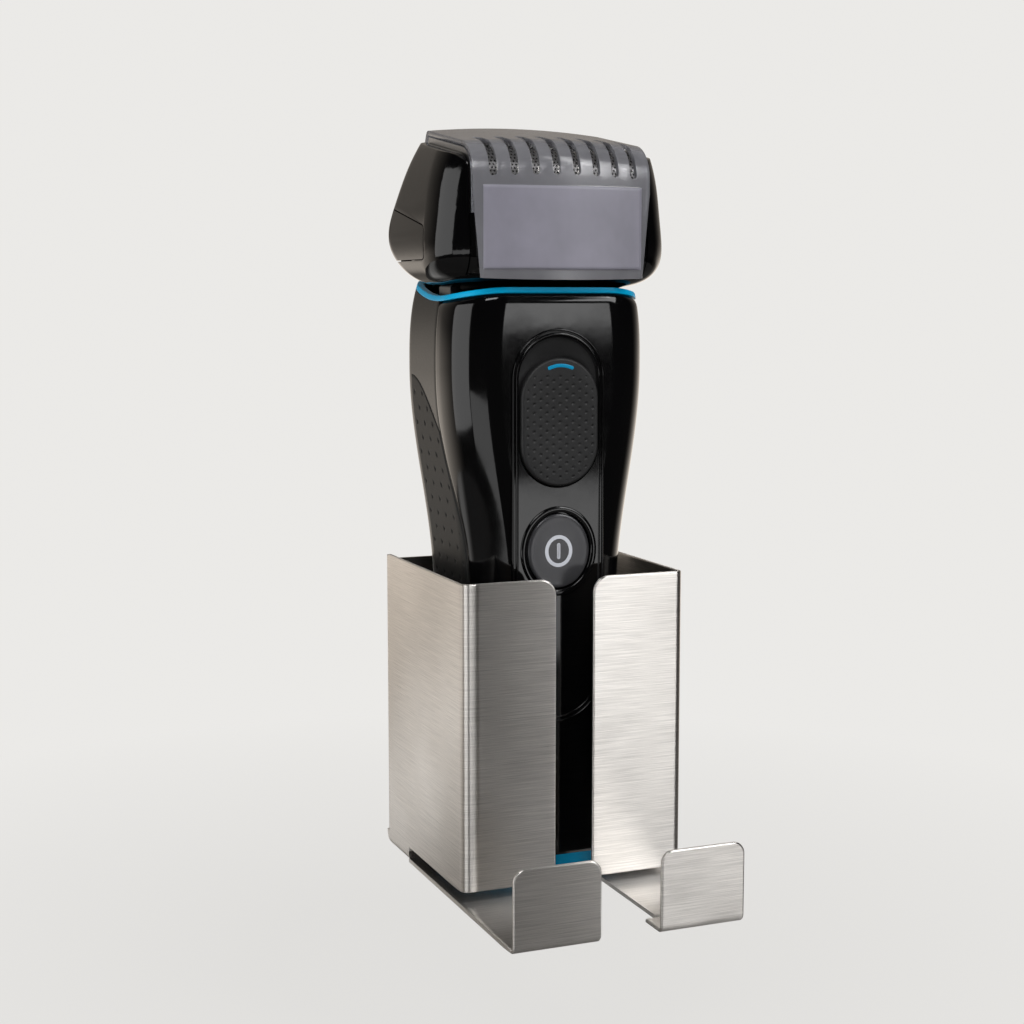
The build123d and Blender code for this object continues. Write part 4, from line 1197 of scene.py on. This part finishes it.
@dataclass
class FrontPanel:
    """Raised oval panel with its double frame, lock slider and power button."""

    half: float = 12.0
    low: float = 40.0
    high: float = 136.0
    face: float = -20.0
    frame_width: float = 1.5
    field_sink: float = 0.12
    field_thickness: float = 0.7
    well_depth: float = 2.1
    well_gap: float = 1.1
    recess_half: float = 10.5
    recess_low: float = 97.7
    recess_high: float = 134.3
    recess_sink: float = 0.16
    recess_depth: float = 1.05
    recess_wall: float = 0.35
    recess_back: float = 1.8
    slider_low: float = 98.2
    slider_high: float = 129.2
    slider_half: float = 10.05
    slider_proud: float = 0.92
    slider_edge: float = 0.7
    slider_back: float = 0.85
    dish_depth: float = 0.42
    dish_half: tuple = (9.0, 14.0)
    dot_radius: float = 0.42
    dot_depth: float = 0.3
    dot_pitch: tuple = (3.4, 1.1)
    plain_top: float = 4.6
    mark_radius: float = 7.6
    mark_top: float = 127.3
    mark_angle: float = 0.46
    mark_half: float = 0.42
    button_z: float = 82.3
    button_half: tuple = (8.1, 9.1)
    button_sink: float = 0.02
    collar_out: float = 1.9
    sign_half: tuple = (3.65, 3.95)
    sign_width: float = 0.93
    sign_edge: float = 0.05
    bar_half: float = 0.46
    bar_reach: float = 2.0

    def build(self, shop: Workshop) -> None:
        """Makes the panel's pieces and the controls on it.

        Args:
            shop: the workshop that makes the pieces.
        """
        self.frame(shop)
        self.field(shop)
        self.recess(shop)
        self.button_collar(shop)
        self.slider(shop)
        self.lock_mark(shop)
        self.button(shop)
        self.power_symbol(shop)

    def frame(self, shop: Workshop) -> None:
        """Double frame: a lip and a band with a groove between them, carried round the oval.

        Args:
            shop: the workshop that makes the piece.
        """
        path, normal = stadium(72, self.half, self.low, self.high)
        inset = np.array([0.0, 0.0, 0.04, 0.14, 0.26, 0.36, 0.42, 0.46, 0.84,
                          0.9, 0.98, 1.12, 1.3, 1.42, 1.5, 1.52, 1.52])
        rise = np.array([-1.4, -0.2, -0.07, -0.01, 0.0, -0.05, -0.14, -0.42, -0.42,
                         -0.16, -0.05, 0.0, 0.0, -0.04, -0.12, -0.2, -1.4])
        grid = carried(path, normal, inset, self.face - rise)
        shop.piece("panel_frame", grid, hoop(grid), "handle", (PIANO_BLACK,), ("front_panel",), sharp=50)

    def field(self, shop: Workshop) -> None:
        """Flat gloss field between the frame's lower arc and the slider's recess, with a well for the button.

        Its lower and upper borders are semicircles. The well is where the distance to the button's
        middle, over the ellipse's half axes, is less than 1.

        Args:
            shop: the workshop that makes the piece.
        """
        half = self.half - self.frame_width
        x = half * np.sin(np.linspace(-math.pi / 2, math.pi / 2, 61))
        bow = np.sqrt(np.clip(half ** 2 - x ** 2, 0, None))
        low = self.low + self.half - bow
        high = self.recess_low + half - bow
        z = low + np.linspace(0, 1, 110)[:, None] * (high - low)
        x = np.broadcast_to(x, z.shape)
        wide, tall = (axis + self.well_gap for axis in self.button_half)
        well = self.well_depth * (np.hypot(x / wide, (z - self.button_z) / tall) < 1)
        outer = np.stack([x, self.face + self.field_sink + well, z], -1)
        points, faces = between(outer, outer + np.array([0, self.field_thickness, 0]))
        shop.piece("panel_field", points, faces, "handle", (PIANO_BLACK,))

    def recess(self, shop: Workshop) -> None:
        """Recess of the slider: a floor that the slider runs over, inside a steep rounded wall.

        The wall's depth is a parabola of the distance from the rim.

        Args:
            shop: the workshop that makes the piece.
        """
        path, normal = stadium(60, self.recess_half, self.recess_low, self.recess_high)
        share = np.array([0.0, 0.06, 0.15, 0.3, 0.5, 0.75, 1.0])
        inset = np.append(self.recess_wall * share, self.recess_half)
        depth = self.face + self.recess_sink + self.recess_depth * np.append(1 - (1 - share) ** 2, 1.0)
        front = carried(path, normal, inset, depth)
        back = front[::-1].copy()
        back[..., 1] = self.face + self.recess_back
        grid = np.concatenate([front, back])
        shop.piece("slider_recess", grid, hoop(grid), "handle", (SLIDER_RUBBER,))

    def button_collar(self, shop: Workshop) -> None:
        """Raised collar round the button: a rounded band carried round an ellipse.

        Args:
            shop: the workshop that makes the piece.
        """
        wide, tall = (axis + self.collar_out for axis in self.button_half)
        turn = np.linspace(0, 2 * math.pi, 160, endpoint=False)
        path = np.stack([wide * np.cos(turn), self.button_z + tall * np.sin(turn)], -1)
        normal = np.stack([tall * np.cos(turn), wide * np.sin(turn)], -1)
        normal /= np.linalg.norm(normal, axis=-1, keepdims=True)
        inset = np.array([0.0, 0.0, 0.1, 0.3, 0.6, 1.0, 1.3, 1.48, 1.55, 1.55])
        rise = np.array([-1.0, 0.0, 0.14, 0.24, 0.27, 0.26, 0.2, 0.08, -0.1, -1.0])
        grid = carried(path, normal, inset, self.face - rise)
        shop.piece("button_collar", grid, hoop(grid), "handle", (PIANO_BLACK,), sharp=50)

    def slider_face(self, x: np.ndarray, z: np.ndarray) -> np.ndarray:
        """Depth of the slider's face: a flat crown with a dish, a power of what is left to its oval rim.

        Args:
            x: places across the slider.
            z: heights.

        Returns:
            The depths (y).
        """
        middle = (self.slider_low + self.slider_high) / 2
        left = 1 - (x / self.dish_half[0]) ** 2 - ((z - middle) / self.dish_half[1]) ** 2
        return self.face - self.slider_proud + self.dish_depth * np.clip(left, 0, 1) ** 1.5

    def slider(self, shop: Workshop) -> None:
        """Lock slider: a stadium with round edges, dished and dotted.

        The grid's columns spread to the stadium's width at each height. The edge falls off as a
        quarter circle of the distance to the outline.

        Args:
            shop: the workshop that makes the piece.
        """
        u = 0.5 * np.sin(np.linspace(-1, 1, 131) * math.pi / 2) + 0.5 * np.linspace(-1, 1, 131)
        v = 0.25 * (1 + np.sin(np.linspace(-1, 1, 231) * math.pi / 2)) + 0.5 * np.linspace(0, 1, 231)
        z = self.slider_low + v[:, None] * (self.slider_high - self.slider_low) + 0 * u[None]
        base, top = self.slider_low + self.slider_half, self.slider_high - self.slider_half
        over = np.where(z > top, z - top, np.where(z < base, base - z, 0.0))
        x = u[None] * np.sqrt(np.clip(self.slider_half ** 2 - over ** 2, 0, None))
        border = self.slider_half - np.hypot(x, over)
        fall = self.slider_edge * rounding(border / self.slider_edge)
        middle = (self.slider_low + self.slider_high) / 2
        dots = spot_lattice(x, z - middle, *self.dot_pitch, self.dot_radius) * ease((border - 1.1) / 0.4)
        dots *= 1 - ease((z - self.slider_high + self.plain_top) / 0.5)
        outer = np.stack([x, self.slider_face(x, z) + fall + self.dot_depth * dots, z], -1)
        inner = np.stack([x, np.full_like(x, self.face + self.slider_back), z], -1)
        points, faces = between(outer, inner)
        shop.piece("slider_dotted", points, faces, "slider", (SLIDER_RUBBER,), ("lock_slider",))

    def lock_mark(self, shop: Workshop) -> None:
        """Coloured arc let into the slider's upper end: a bent bar with round ends.

        The bar's half width falls off as a quarter circle at both ends, and its face swells along a
        half ellipse.

        Args:
            shop: the workshop that makes the piece.
        """
        radius, half = self.mark_radius, self.mark_half
        turn = np.linspace(-self.mark_angle, self.mark_angle, 49)
        reach = radius * (self.mark_angle - np.abs(turn))
        taper = np.sqrt(np.clip(1 - (1 - np.clip(reach / half, 0, 1)) ** 2, 0, 1))
        row = np.linspace(-1, 1, 9)[:, None]
        offset = row * half * taper[None]
        x = (radius + offset) * np.sin(turn)[None]
        z = self.mark_top - radius + (radius + offset) * np.cos(turn)[None]
        swell = 0.05 * np.sqrt(np.clip(1 - row ** 2, 0, 1)) + 0 * turn[None]
        outer = np.stack([x, self.slider_face(x, z) - 0.01 - swell, z], -1)
        inner = np.stack([x, self.slider_face(x, z) + 0.3, z], -1)
        points, faces = between(outer, inner)
        shop.piece("lock_mark", points, faces, "slider", (CYAN,))

    def button(self, shop: Workshop) -> None:
        """Power button: an oval disc with a round rim and a shallow dish.

        Args:
            shop: the workshop that makes the piece.
        """
        rings = np.array([0.0, 0.1, 0.2, 0.35, 0.5, 0.65, 0.78, 0.88, 0.94, 0.965, 0.98, 0.992, 1.0, 1.0])
        drop = np.array([0.0, 0.0, 0.0, -0.01, -0.03, -0.06, -0.1, -0.13, -0.12, -0.08, -0.02, 0.1, 0.3, 1.3])
        turn = np.linspace(0, 2 * math.pi, 128, endpoint=False)
        x = rings[:, None] * self.button_half[0] * np.cos(turn)[None]
        z = self.button_z + rings[:, None] * self.button_half[1] * np.sin(turn)[None]
        front = np.stack([x, self.face + self.button_sink + drop[:, None] + 0 * x, z], -1)
        hub = front[-1:].copy()
        hub[..., 0], hub[..., 2] = 0.0, self.button_z
        grid = np.concatenate([front, hub])
        faces = quads(numbered(*grid.shape[:2], close_columns=True))
        shop.piece("button_disc", grid, faces, "button", (BUTTON_GREY,), ("power_button",), sharp=60)

    def power_symbol(self, shop: Workshop) -> None:
        """Power symbol on the button: an oval ring and an upright bar, printed slightly proud.

        Args:
            shop: the workshop that makes the piece.
        """
        turn = np.linspace(0, 2 * math.pi, 96, endpoint=False)
        inset = np.array([0.0, self.sign_edge, self.sign_width, self.sign_width + self.sign_edge])[:, None]
        level = self.face + self.button_sink + np.array([0.1, -0.06, -0.06, 0.1])
        x = (self.sign_half[0] - inset) * np.cos(turn)[None]
        z = self.button_z + (self.sign_half[1] - inset) * np.sin(turn)[None]
        ring = np.stack([x, level[:, None] + 0 * x, z], -1)
        low, high = self.button_z - self.bar_reach, self.button_z + self.bar_reach
        path, normal = stadium(12, self.bar_half, low, high)
        bar = carried(path, normal, np.array([0.0, self.sign_edge, self.bar_half, self.bar_half]), level)
        points, faces = joined([(ring, hoop(ring)), (bar, hoop(bar))])
        shop.piece("power_symbol", points, faces, "button", (ICON_PALE,))


def rounded(corners: list, radii: tuple, steps: int) -> np.ndarray:
    """Run of straight lines with rounded inner corners.

    Every straight and every arc gets the same number of points, so two runs with shifted corners
    match point by point. An arc starts at radius / tan(half of its corner's angle) from the corner,
    and its centre lies on the corner's bisector.

    Args:
        corners: the corners, with both ends.
        radii: the radius of each inner corner.
        steps: points on each straight and each arc.

    Returns:
        The points of the run.
    """
    corner = np.asarray(corners, float)
    share = np.linspace(0, 1, steps, endpoint=False)[:, None]
    start, pieces = corner[0], []
    for before, here, after, radius in zip(corner, corner[1:], corner[2:], radii):
        back = (before - here) / np.linalg.norm(before - here)
        ahead = (after - here) / np.linalg.norm(after - here)
        half = math.acos(float(back @ ahead)) / 2
        centre = here + (back + ahead) / np.linalg.norm(back + ahead) * radius / math.sin(half)
        first, last = here + back * radius / math.tan(half), here + ahead * radius / math.tan(half)
        full = math.pi - 2 * half
        spokes = np.sin(full * (1 - share)) * (first - centre) + np.sin(full * share) * (last - centre)
        pieces += [start + share * (first - start), centre + spokes / math.sin(full)]
        start = last
    pieces.append(start + np.linspace(0, 1, steps)[:, None] * (corner[-1] - start))
    return np.concatenate(pieces)


@dataclass
class CapShell:
    """Smoked cap: a bowed sheet with a frosted field and slots over its front shoulder and back wall."""

    half: float = 22.8
    foot_half: float = 20.8
    taper_foot: float = 145.6
    taper_top: float = 168.0
    front: float = -24.3
    front_bow: float = 2.4
    roof: float = 179.6
    roof_bow: float = 1.2
    roof_rise: float = 0.1757
    peak: float = 9.9
    skirt: float = 22.3
    skirt_bow: float = 0.8
    skirt_top: float = 162.0
    radii: tuple = (8.8, 1.6, 12.0)
    foot: float = 147.6
    foot_lean: float = 0.18
    leg: tuple = (149.5, 170.0)
    wall: float = 1.1
    rim_edge: float = 0.18
    slots: int = 8
    pitch: float = 5.15
    slot_half: float = 0.95
    slot_low: float = 172.0
    slot_reach: float = -12.1
    rear_reach: float = 11.5
    slot_margin: float = 1.3
    slot_steps: int = 10
    long_steps: int = 24
    inner: float = 20.4
    frost_low: float = 150.0
    frost_high: float = 169.5
    frost_step: float = 0.3

    def __post_init__(self) -> None:
        """Works out the side views at the middle and at the edge of the cap, and the places across it."""
        self.middle, self.edge = self.view(0.0), self.view(1.0)
        self.length = np.concatenate([[0], np.cumsum(np.linalg.norm(np.diff(self.middle, axis=0), axis=1))])
        bridges = (np.arange(1, self.slots) - self.slots / 2) * self.pitch
        self.borders = np.concatenate([[-self.inner], bridges, [self.inner]])
        self.side = np.linspace(self.inner, self.half, 6)

    def view(self, bow: float) -> np.ndarray:
        """Side view of the sheet, from the front rim over the roof to the rear rim.

        The front keeps its heights over the leg's range, so rows of the sheet stay level there.

        Args:
            bow: 0 at the middle of the cap, 1 at its edges.

        Returns:
            Points (y, z).
        """
        front, skirt = self.front + self.front_bow * bow, self.skirt - self.skirt_bow * bow
        roof = self.roof - self.roof_bow * bow
        rim = [self.foot + self.foot_lean * (y - self.front) for y in (front, skirt)]
        corners = [(front, self.leg[1])]
        corners += [(y, roof + self.roof_rise * (y - self.front)) for y in (front, self.peak)]
        corners += [(skirt, self.skirt_top), (skirt, rim[1])]
        heights = np.concatenate([np.linspace(rim[0], self.leg[0], 12), np.linspace(*self.leg, 60)[1:-1]])
        leg = np.stack([np.full_like(heights, front), heights], -1)
        return np.concatenate([leg, rounded(corners, self.radii, 60)])

    def laid(self, x: np.ndarray, run: np.ndarray) -> np.ndarray:
        """Points of the sheet's outer face.

        The bow grows with the square of the place across. Outside the frosted field the sheet is
        drawn in towards its foot; the field stands proud by a smooth step.

        Args:
            x: place across the cap.
            run: distance along the middle side view, from the front rim over the roof.

        Returns:
            Points, with a last axis of three.
        """
        bow = (x / self.half) ** 2
        shift = self.edge - self.middle
        y, z = (np.interp(run, self.length, self.middle[:, axis])
                + bow * np.interp(run, self.length, shift[:, axis]) for axis in (0, 1))
        inside = np.minimum.reduce([self.inner - np.abs(x), z - self.frost_low, self.frost_high - z])
        y = y - self.frost_step * ease(inside / self.frost_step) * (run < self.length[-1] / 3)
        drop = np.clip((self.taper_top - z) / (self.taper_top - self.taper_foot), 0, 1)
        edge = self.half + (self.foot_half - self.half) * drop
        outside = np.clip((np.abs(x) - self.inner) / (self.half - self.inner), 0, 1)
        x = np.sign(x) * np.where(outside > 0, self.inner + outside * (edge - self.inner), np.abs(x))
        return np.stack([x, y, z], -1)

    def reach(self, value: float, axis: int, rear: bool) -> float:
        """Run at which the middle side view passes a depth or a height.

        Args:
            value: the depth or height.
            axis: 0 for a depth, 1 for a height.
            rear: whether the run lies past the view's highest point.

        Returns:
            The distance along the view.
        """
        top = int(np.argmax(self.middle[:, 1]))
        part = slice(top, None) if rear else slice(0, top)
        line = self.middle[part, axis]
        order = np.argsort(line, kind="stable")
        return float(np.interp(value, line[order], self.length[part][order]))

    def plain(self, across: np.ndarray, run: np.ndarray) -> tuple[np.ndarray, np.ndarray]:
        """Points and quads of a plain stretch of the sheet.

        Args:
            across: its places across the cap.
            run: its distances along the middle side view.

        Returns:
            The points and the quads.
        """
        grid = self.laid(*np.meshgrid(across, run))
        return grid, quads(numbered(*grid.shape[:2]))

    def band(self, run: np.ndarray) -> tuple[np.ndarray, np.ndarray]:
        """Plain band over the cap's full width, with columns that match the tiles.

        Args:
            run: its distances along the middle side view.

        Returns:
            The points and the quads.
        """
        columns = [np.linspace(left, right, self.slot_steps, endpoint=False)
                   for left, right in zip(self.borders, self.borders[1:])]
        return self.plain(np.concatenate([-self.side[::-1], np.concatenate(columns)[1:], self.side]), run)

    def tiles(self, first: float, last: float) -> list:
        """One row of slotted tiles with its side margins.

        A slot is a stadium and its tile a rectangle, both with the same number of points. The rings
        between them are the points of the one moved towards those of the other.

        Args:
            first: the run at which the slots start.
            last: the run at which they end.

        Returns:
            The points and the quads of each margin and each tile.
        """
        start, stop = first - self.slot_margin, last + self.slot_margin
        count, r = self.long_steps, self.slot_half
        climb = np.linspace(start, stop, count + 1)
        rise = np.linspace(first + r, last - r, count + 1)
        turn = np.linspace(0, math.pi, self.slot_steps + 1)
        made = [self.plain(np.sort(edge * self.side), climb) for edge in (-1, 1)]
        for index, (left, right) in enumerate(zip(self.borders, self.borders[1:])):
            centre = (index - (self.slots - 1) / 2) * self.pitch
            hole = np.concatenate([
                np.stack([centre - r * np.cos(turn), first + r - r * np.sin(turn)], -1)[:-1],
                np.stack([np.full(count, centre + r), rise[:-1]], -1),
                np.stack([centre + r * np.cos(turn), last - r + r * np.sin(turn)], -1)[:-1],
                np.stack([np.full(count, centre - r), rise[:0:-1]], -1)])
            level = np.linspace(left, right, self.slot_steps + 1)
            box = np.concatenate([
                np.stack([level[:-1], np.full(self.slot_steps, start)], -1),
                np.stack([np.full(count, right), climb[:-1]], -1),
                np.stack([level[:0:-1], np.full(self.slot_steps, stop)], -1),
                np.stack([np.full(count, left), climb[:0:-1]], -1)])
            flat = hole[None] + np.array([0.0, 0.12, 0.35, 0.65, 1.0])[:, None, None] * (box - hole)[None]
            grid = self.laid(flat[..., 0], flat[..., 1])
            made.append((grid, quads(numbered(*grid.shape[:2], close_columns=True), flip=True)))
        return made

    def build(self, shop: Workshop) -> None:
        """Makes the cap from plain bands and slotted tiles, then gives it its thickness.

        Args:
            shop: the workshop that makes the piece.
        """
        margin = self.slot_margin
        front = (self.reach(self.slot_low, 1, False), self.reach(self.slot_reach, 0, False))
        rear = (self.reach(self.rear_reach, 0, True), self.reach(self.slot_low, 1, True))
        low, high = self.frost_low - self.foot, self.frost_high - self.foot
        leg = np.concatenate([np.linspace(0, low, 7), low + np.array([0.1, 0.2, 0.3]),
                              np.linspace(low + 0.8, high - 0.8, 26), high - np.array([0.3, 0.2, 0.1, 0.0]),
                              np.linspace(high + 0.25, front[0] - margin, 4)])
        points, faces = joined([self.band(leg), *self.tiles(*front),
                                self.band(np.linspace(front[1] + margin, rear[0] - margin, 30)),
                                *self.tiles(*rear),
                                self.band(np.linspace(rear[1] + margin, self.length[-1], 60))])
        middle = points[faces].mean(axis=1)
        frosted = (middle[:, 1] < 0) & (middle[:, 2] > self.frost_low) & (middle[:, 2] < self.frost_high)
        frosted &= np.abs(middle[:, 0]) < self.inner
        piece = shop.piece("cap_smoked", points, faces, "cap", (SMOKED, FROSTED), ("protective_cap",),
                           closed=False, zones=frosted, sharp=50)
        wall = piece.modifiers.new("wall", "SOLIDIFY")
        wall.thickness, wall.offset, wall.use_even_offset = self.wall * MM, -1.0, True
        rim = piece.modifiers.new("rim", "BEVEL")
        rim.width, rim.segments, rim.limit_method = self.rim_edge * MM, 2, "ANGLE"
        rim.angle_limit = math.radians(60)


@dataclass
class ShaverHead:
    """Head housing with its release buttons, and the cassette under the cap."""

    tub_edge: float = 0.35
    tub_corner: float = 35.0
    key_edge: float = 0.2
    carrier_edge: float = 0.2

    def build(self, shop: Workshop) -> None:
        """Dresses the head's rigid pieces.

        Args:
            shop: the workshop that makes the pieces.
        """
        shop.refined("head_housing", "head", PIANO_BLACK, self.tub_edge, "head_tub", self.tub_corner)
        for side in ("left", "right"):
            shop.refined(side + "_release", side + "_release_button", PIANO_BLACK, self.key_edge,
                         side + "_release_key")
        shop.refined("cassette_frame", "cassette", SILVER, self.carrier_edge, "cassette_carrier")


@dataclass
class BackTrimmer:
    """Long hair trimmer on the back of the handle and the yoke at its top."""

    rail_edge: float = 0.3
    thumb_edge: float = 0.25
    deck_edge: float = 0.25

    def build(self, shop: Workshop) -> None:
        """Dresses the trimmer's guide and slide and the yoke.

        Args:
            shop: the workshop that makes the pieces.
        """
        shop.refined("trimmer_guide", "handle", SATIN_BLACK, self.rail_edge, "trimmer_rail")
        shop.refined("trimmer_slide", "trimmer", SATIN_BLACK, self.thumb_edge, "trimmer_thumb")
        shop.refined("neck_yoke", "handle", YOKE, self.deck_edge, "neck_deck")


@dataclass(frozen=True)
class Lamp:
    """A soft rectangular lamp: place, aim and size in millimetres, power in watts."""

    name: str
    place: tuple
    aim: tuple
    size: tuple
    power: float

    def build(self) -> None:
        """Adds the lamp to the scene."""
        data = bpy.data.lights.new(self.name, "AREA")
        data.shape, data.energy = "RECTANGLE", self.power
        data.size, data.size_y = self.size[0] * MM, self.size[1] * MM
        aim_from(shown(self.name, data), self.place, Vector(self.aim) - Vector(self.place))


def aim_from(thing: bpy.types.Object, place: tuple, direction: Vector) -> None:
    """Puts a camera or lamp at a place and turns it to look along a direction.

    Args:
        thing: the camera or lamp.
        place: where it stands, in millimetres.
        direction: where it looks.
    """
    thing.location = Vector(place) * MM
    thing.rotation_mode = "QUATERNION"
    thing.rotation_quaternion = direction.to_track_quat("-Z", "Y")


@dataclass
class Studio:
    """Camera at the photograph's angle, pale floor and soft lamps."""

    eye: tuple = (-170.9, -438.3, 103.7)
    yaw: float = 22.12
    pitch: float = -6.94
    lens: float = 62.25
    floor_z: float = -75.0
    floor_radius: float = 450.0
    floor_color: tuple = (0.2, 0.195, 0.19)
    pale: tuple = (0.83, 0.82, 0.80)
    room_light: tuple = (1.0, 0.9, 0.79)
    glow_ring: tuple = (60.0, 280.0)
    glow_share: tuple = (0.88, 1.0)
    mirror_near: tuple = (50.0, 130.0)
    mirror_far: tuple = (200.0, 280.0)
    mirror_left: tuple = (-70.0, -25.0)
    mirror_glow: float = 1.7
    room_depth: tuple = (0.0, 0.75)
    room_strength: tuple = (0.03, 1.45)
    room_height: tuple = (-0.14, 0.1)
    room_above: float = 0.22
    room_left: tuple = (-0.28, -0.08)
    room_low: tuple = (-0.32, -0.16)
    room_dim: float = 0.2
    lamps: tuple = (
        Lamp("key", (-300, -900, 800), (0, -40, 30), (500, 400), 5.0),
        Lamp("right softbox", (660, -794, 516), (660, -57, 0), (500, 700), 6.2),
        Lamp("high strip", (485, -740, 860), (0, -50, 130), (150, 480), 1.5),
        Lamp("left low strip", (-640, -870, -125), (0, -40, 50), (760, 170), 0.7),
        Lamp("left softbox", (-900, -200, 180), (0, -200, 180), (760, 650), 3.6),
        Lamp("top", (60, -60, 700), (0, -30, 50), (500, 500), 0.25),
        Lamp("low strip", (490, -1150, -145), (490, -48, 50), (210, 160), 0.3),
        Lamp("level strip", (470, -1150, 108), (470, -48, 108), (190, 65), 0.15),
    )

    def build(self) -> None:
        """Makes the camera, the floor, the world and the lamps."""
        self.camera()
        self.floor()
        self.world()
        for lamp in self.lamps:
            lamp.build()

    def camera(self) -> None:
        """Camera with the eye and angles that fit the photograph."""
        data = bpy.data.cameras.new("camera")
        data.lens, data.sensor_width = self.lens, 36.0
        data.clip_start, data.clip_end = 0.01, 50.0
        camera = shown("camera", data)
        yaw, pitch = math.radians(self.yaw), math.radians(self.pitch)
        look = Vector((math.sin(yaw) * math.cos(pitch), math.cos(yaw) * math.cos(pitch), math.sin(pitch)))
        aim_from(camera, self.eye, look)
        bpy.context.scene.camera = camera

    def floor(self) -> None:
        """Round pale floor under the object, as rings of points, that fades into the background.

        The eye sees a glow that grows with the distance from the middle. The steel mirrors a
        stronger glow behind the object on the left, a product of ramps over the depth and across.
        """
        turn = np.linspace(0, 2 * math.pi, 64, endpoint=False)
        rings = np.linspace(0, self.floor_radius, 4)[:, None]
        grid = np.stack([rings * np.cos(turn), rings * np.sin(turn), self.floor_z + 0 * rings * turn], -1)
        mesh = bpy.data.meshes.new("floor")
        faces = quads(numbered(*grid.shape[:2], close_columns=True), flip=True)
        mesh.from_pydata((grid.reshape(-1, 3) * MM).tolist(), [], faces.tolist())
        floor = shown("floor", mesh)
        material = bpy.data.materials.new("floor")
        bench = NodeBench(material)
        bench.shader.inputs["Base Color"].default_value = (*self.floor_color, 1.0)
        bench.shader.inputs["Roughness"].default_value = 0.9
        away = bench.node("ShaderNodeVectorMath", operation="LENGTH")
        bench.link(bench.coordinates((1.0, 1.0, 0.0)), away.inputs[0])
        far = bench.remap(away.outputs["Value"], *self.glow_share, *self.glow_ring)
        x, y, _ = bench.split(bench.coordinates())
        behind = bench.times(bench.remap(y, 0.0, 1.0, *self.mirror_near),
                             bench.remap(y, 1.0, 0.0, *self.mirror_far))
        aside = bench.remap(x, 1.0, 0.0, *self.mirror_left)
        glossy = bench.node("ShaderNodeLightPath").outputs["Is Glossy Ray"]
        mirrored = bench.times(glossy, bench.times(behind, aside))
        glow = bench.node("ShaderNodeEmission", in_Color=(*self.pale, 1.0))
        bench.link(bench.remap(mirrored, 1.0, self.mirror_glow, 0.0, 1.0), glow.inputs["Strength"])
        share = bench.times(far, bench.math("MAXIMUM", bench.seen(), mirrored))
        bench.show(share, bench.shader.outputs["BSDF"], glow.outputs["Emission"])
        mesh.materials.append(material)

    def world(self) -> None:
        """Studio surroundings: bright behind the object, dim in front of it, pale to the eye.

        The strength is a product of ramps over the direction's depth and height. Low on the right,
        where the head's undersides look, it is dimmed by the larger of two more ramps.
        """
        world = bpy.data.worlds.new("studio")
        bpy.context.scene.world = world
        bench = NodeBench(world)
        x, y, z = bench.split(bench.node("ShaderNodeTexCoord").outputs["Generated"])
        depth = bench.remap(y, *self.room_strength, *self.room_depth, smooth=True)
        height = bench.remap(z, 1.0, self.room_above, *self.room_height, smooth=True)
        left = bench.remap(x, 1.0, self.room_dim, *self.room_left, smooth=True)
        not_low = bench.remap(z, self.room_dim, 1.0, *self.room_low, smooth=True)
        strength = bench.times(bench.times(depth, height), bench.math("MAXIMUM", left, not_low))
        room = bench.tree.nodes["Background"]
        room.inputs["Color"].default_value = (*self.room_light, 1.0)
        bench.link(strength, room.inputs["Strength"])
        plain = bench.node("ShaderNodeBackground", in_Color=(*self.pale, 1.0))
        bench.show(bench.seen(), room.outputs["Background"], plain.outputs["Background"])


def dress_plain_nodes(shop: Workshop) -> None:
    """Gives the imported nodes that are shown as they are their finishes.

    Args:
        shop: the workshop that keeps the materials.
    """
    for finish, nodes in PLAIN_NODES:
        for node in nodes:
            shop.dress(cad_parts[node], finish)
            log.info("dressed %s in %s", node, finish.name)


def main() -> None:
    """Builds every sub-assembly in order, then the studio."""
    logging.basicConfig(level=logging.INFO, format="%(name)s: %(message)s")
    shop = Workshop()
    assemblies = (HolderSheet(), HandleShells(HandleForm()), FrontPanel(), CapShell(), ShaverHead(),
                  BackTrimmer())
    for assembly in assemblies:
        assembly.build(shop)
        log.info("built %s", type(assembly).__name__)
    dress_plain_nodes(shop)
    Studio().build()
    bpy.context.scene.view_settings.view_transform = "Standard"


if __name__ == "__main__":
    main()
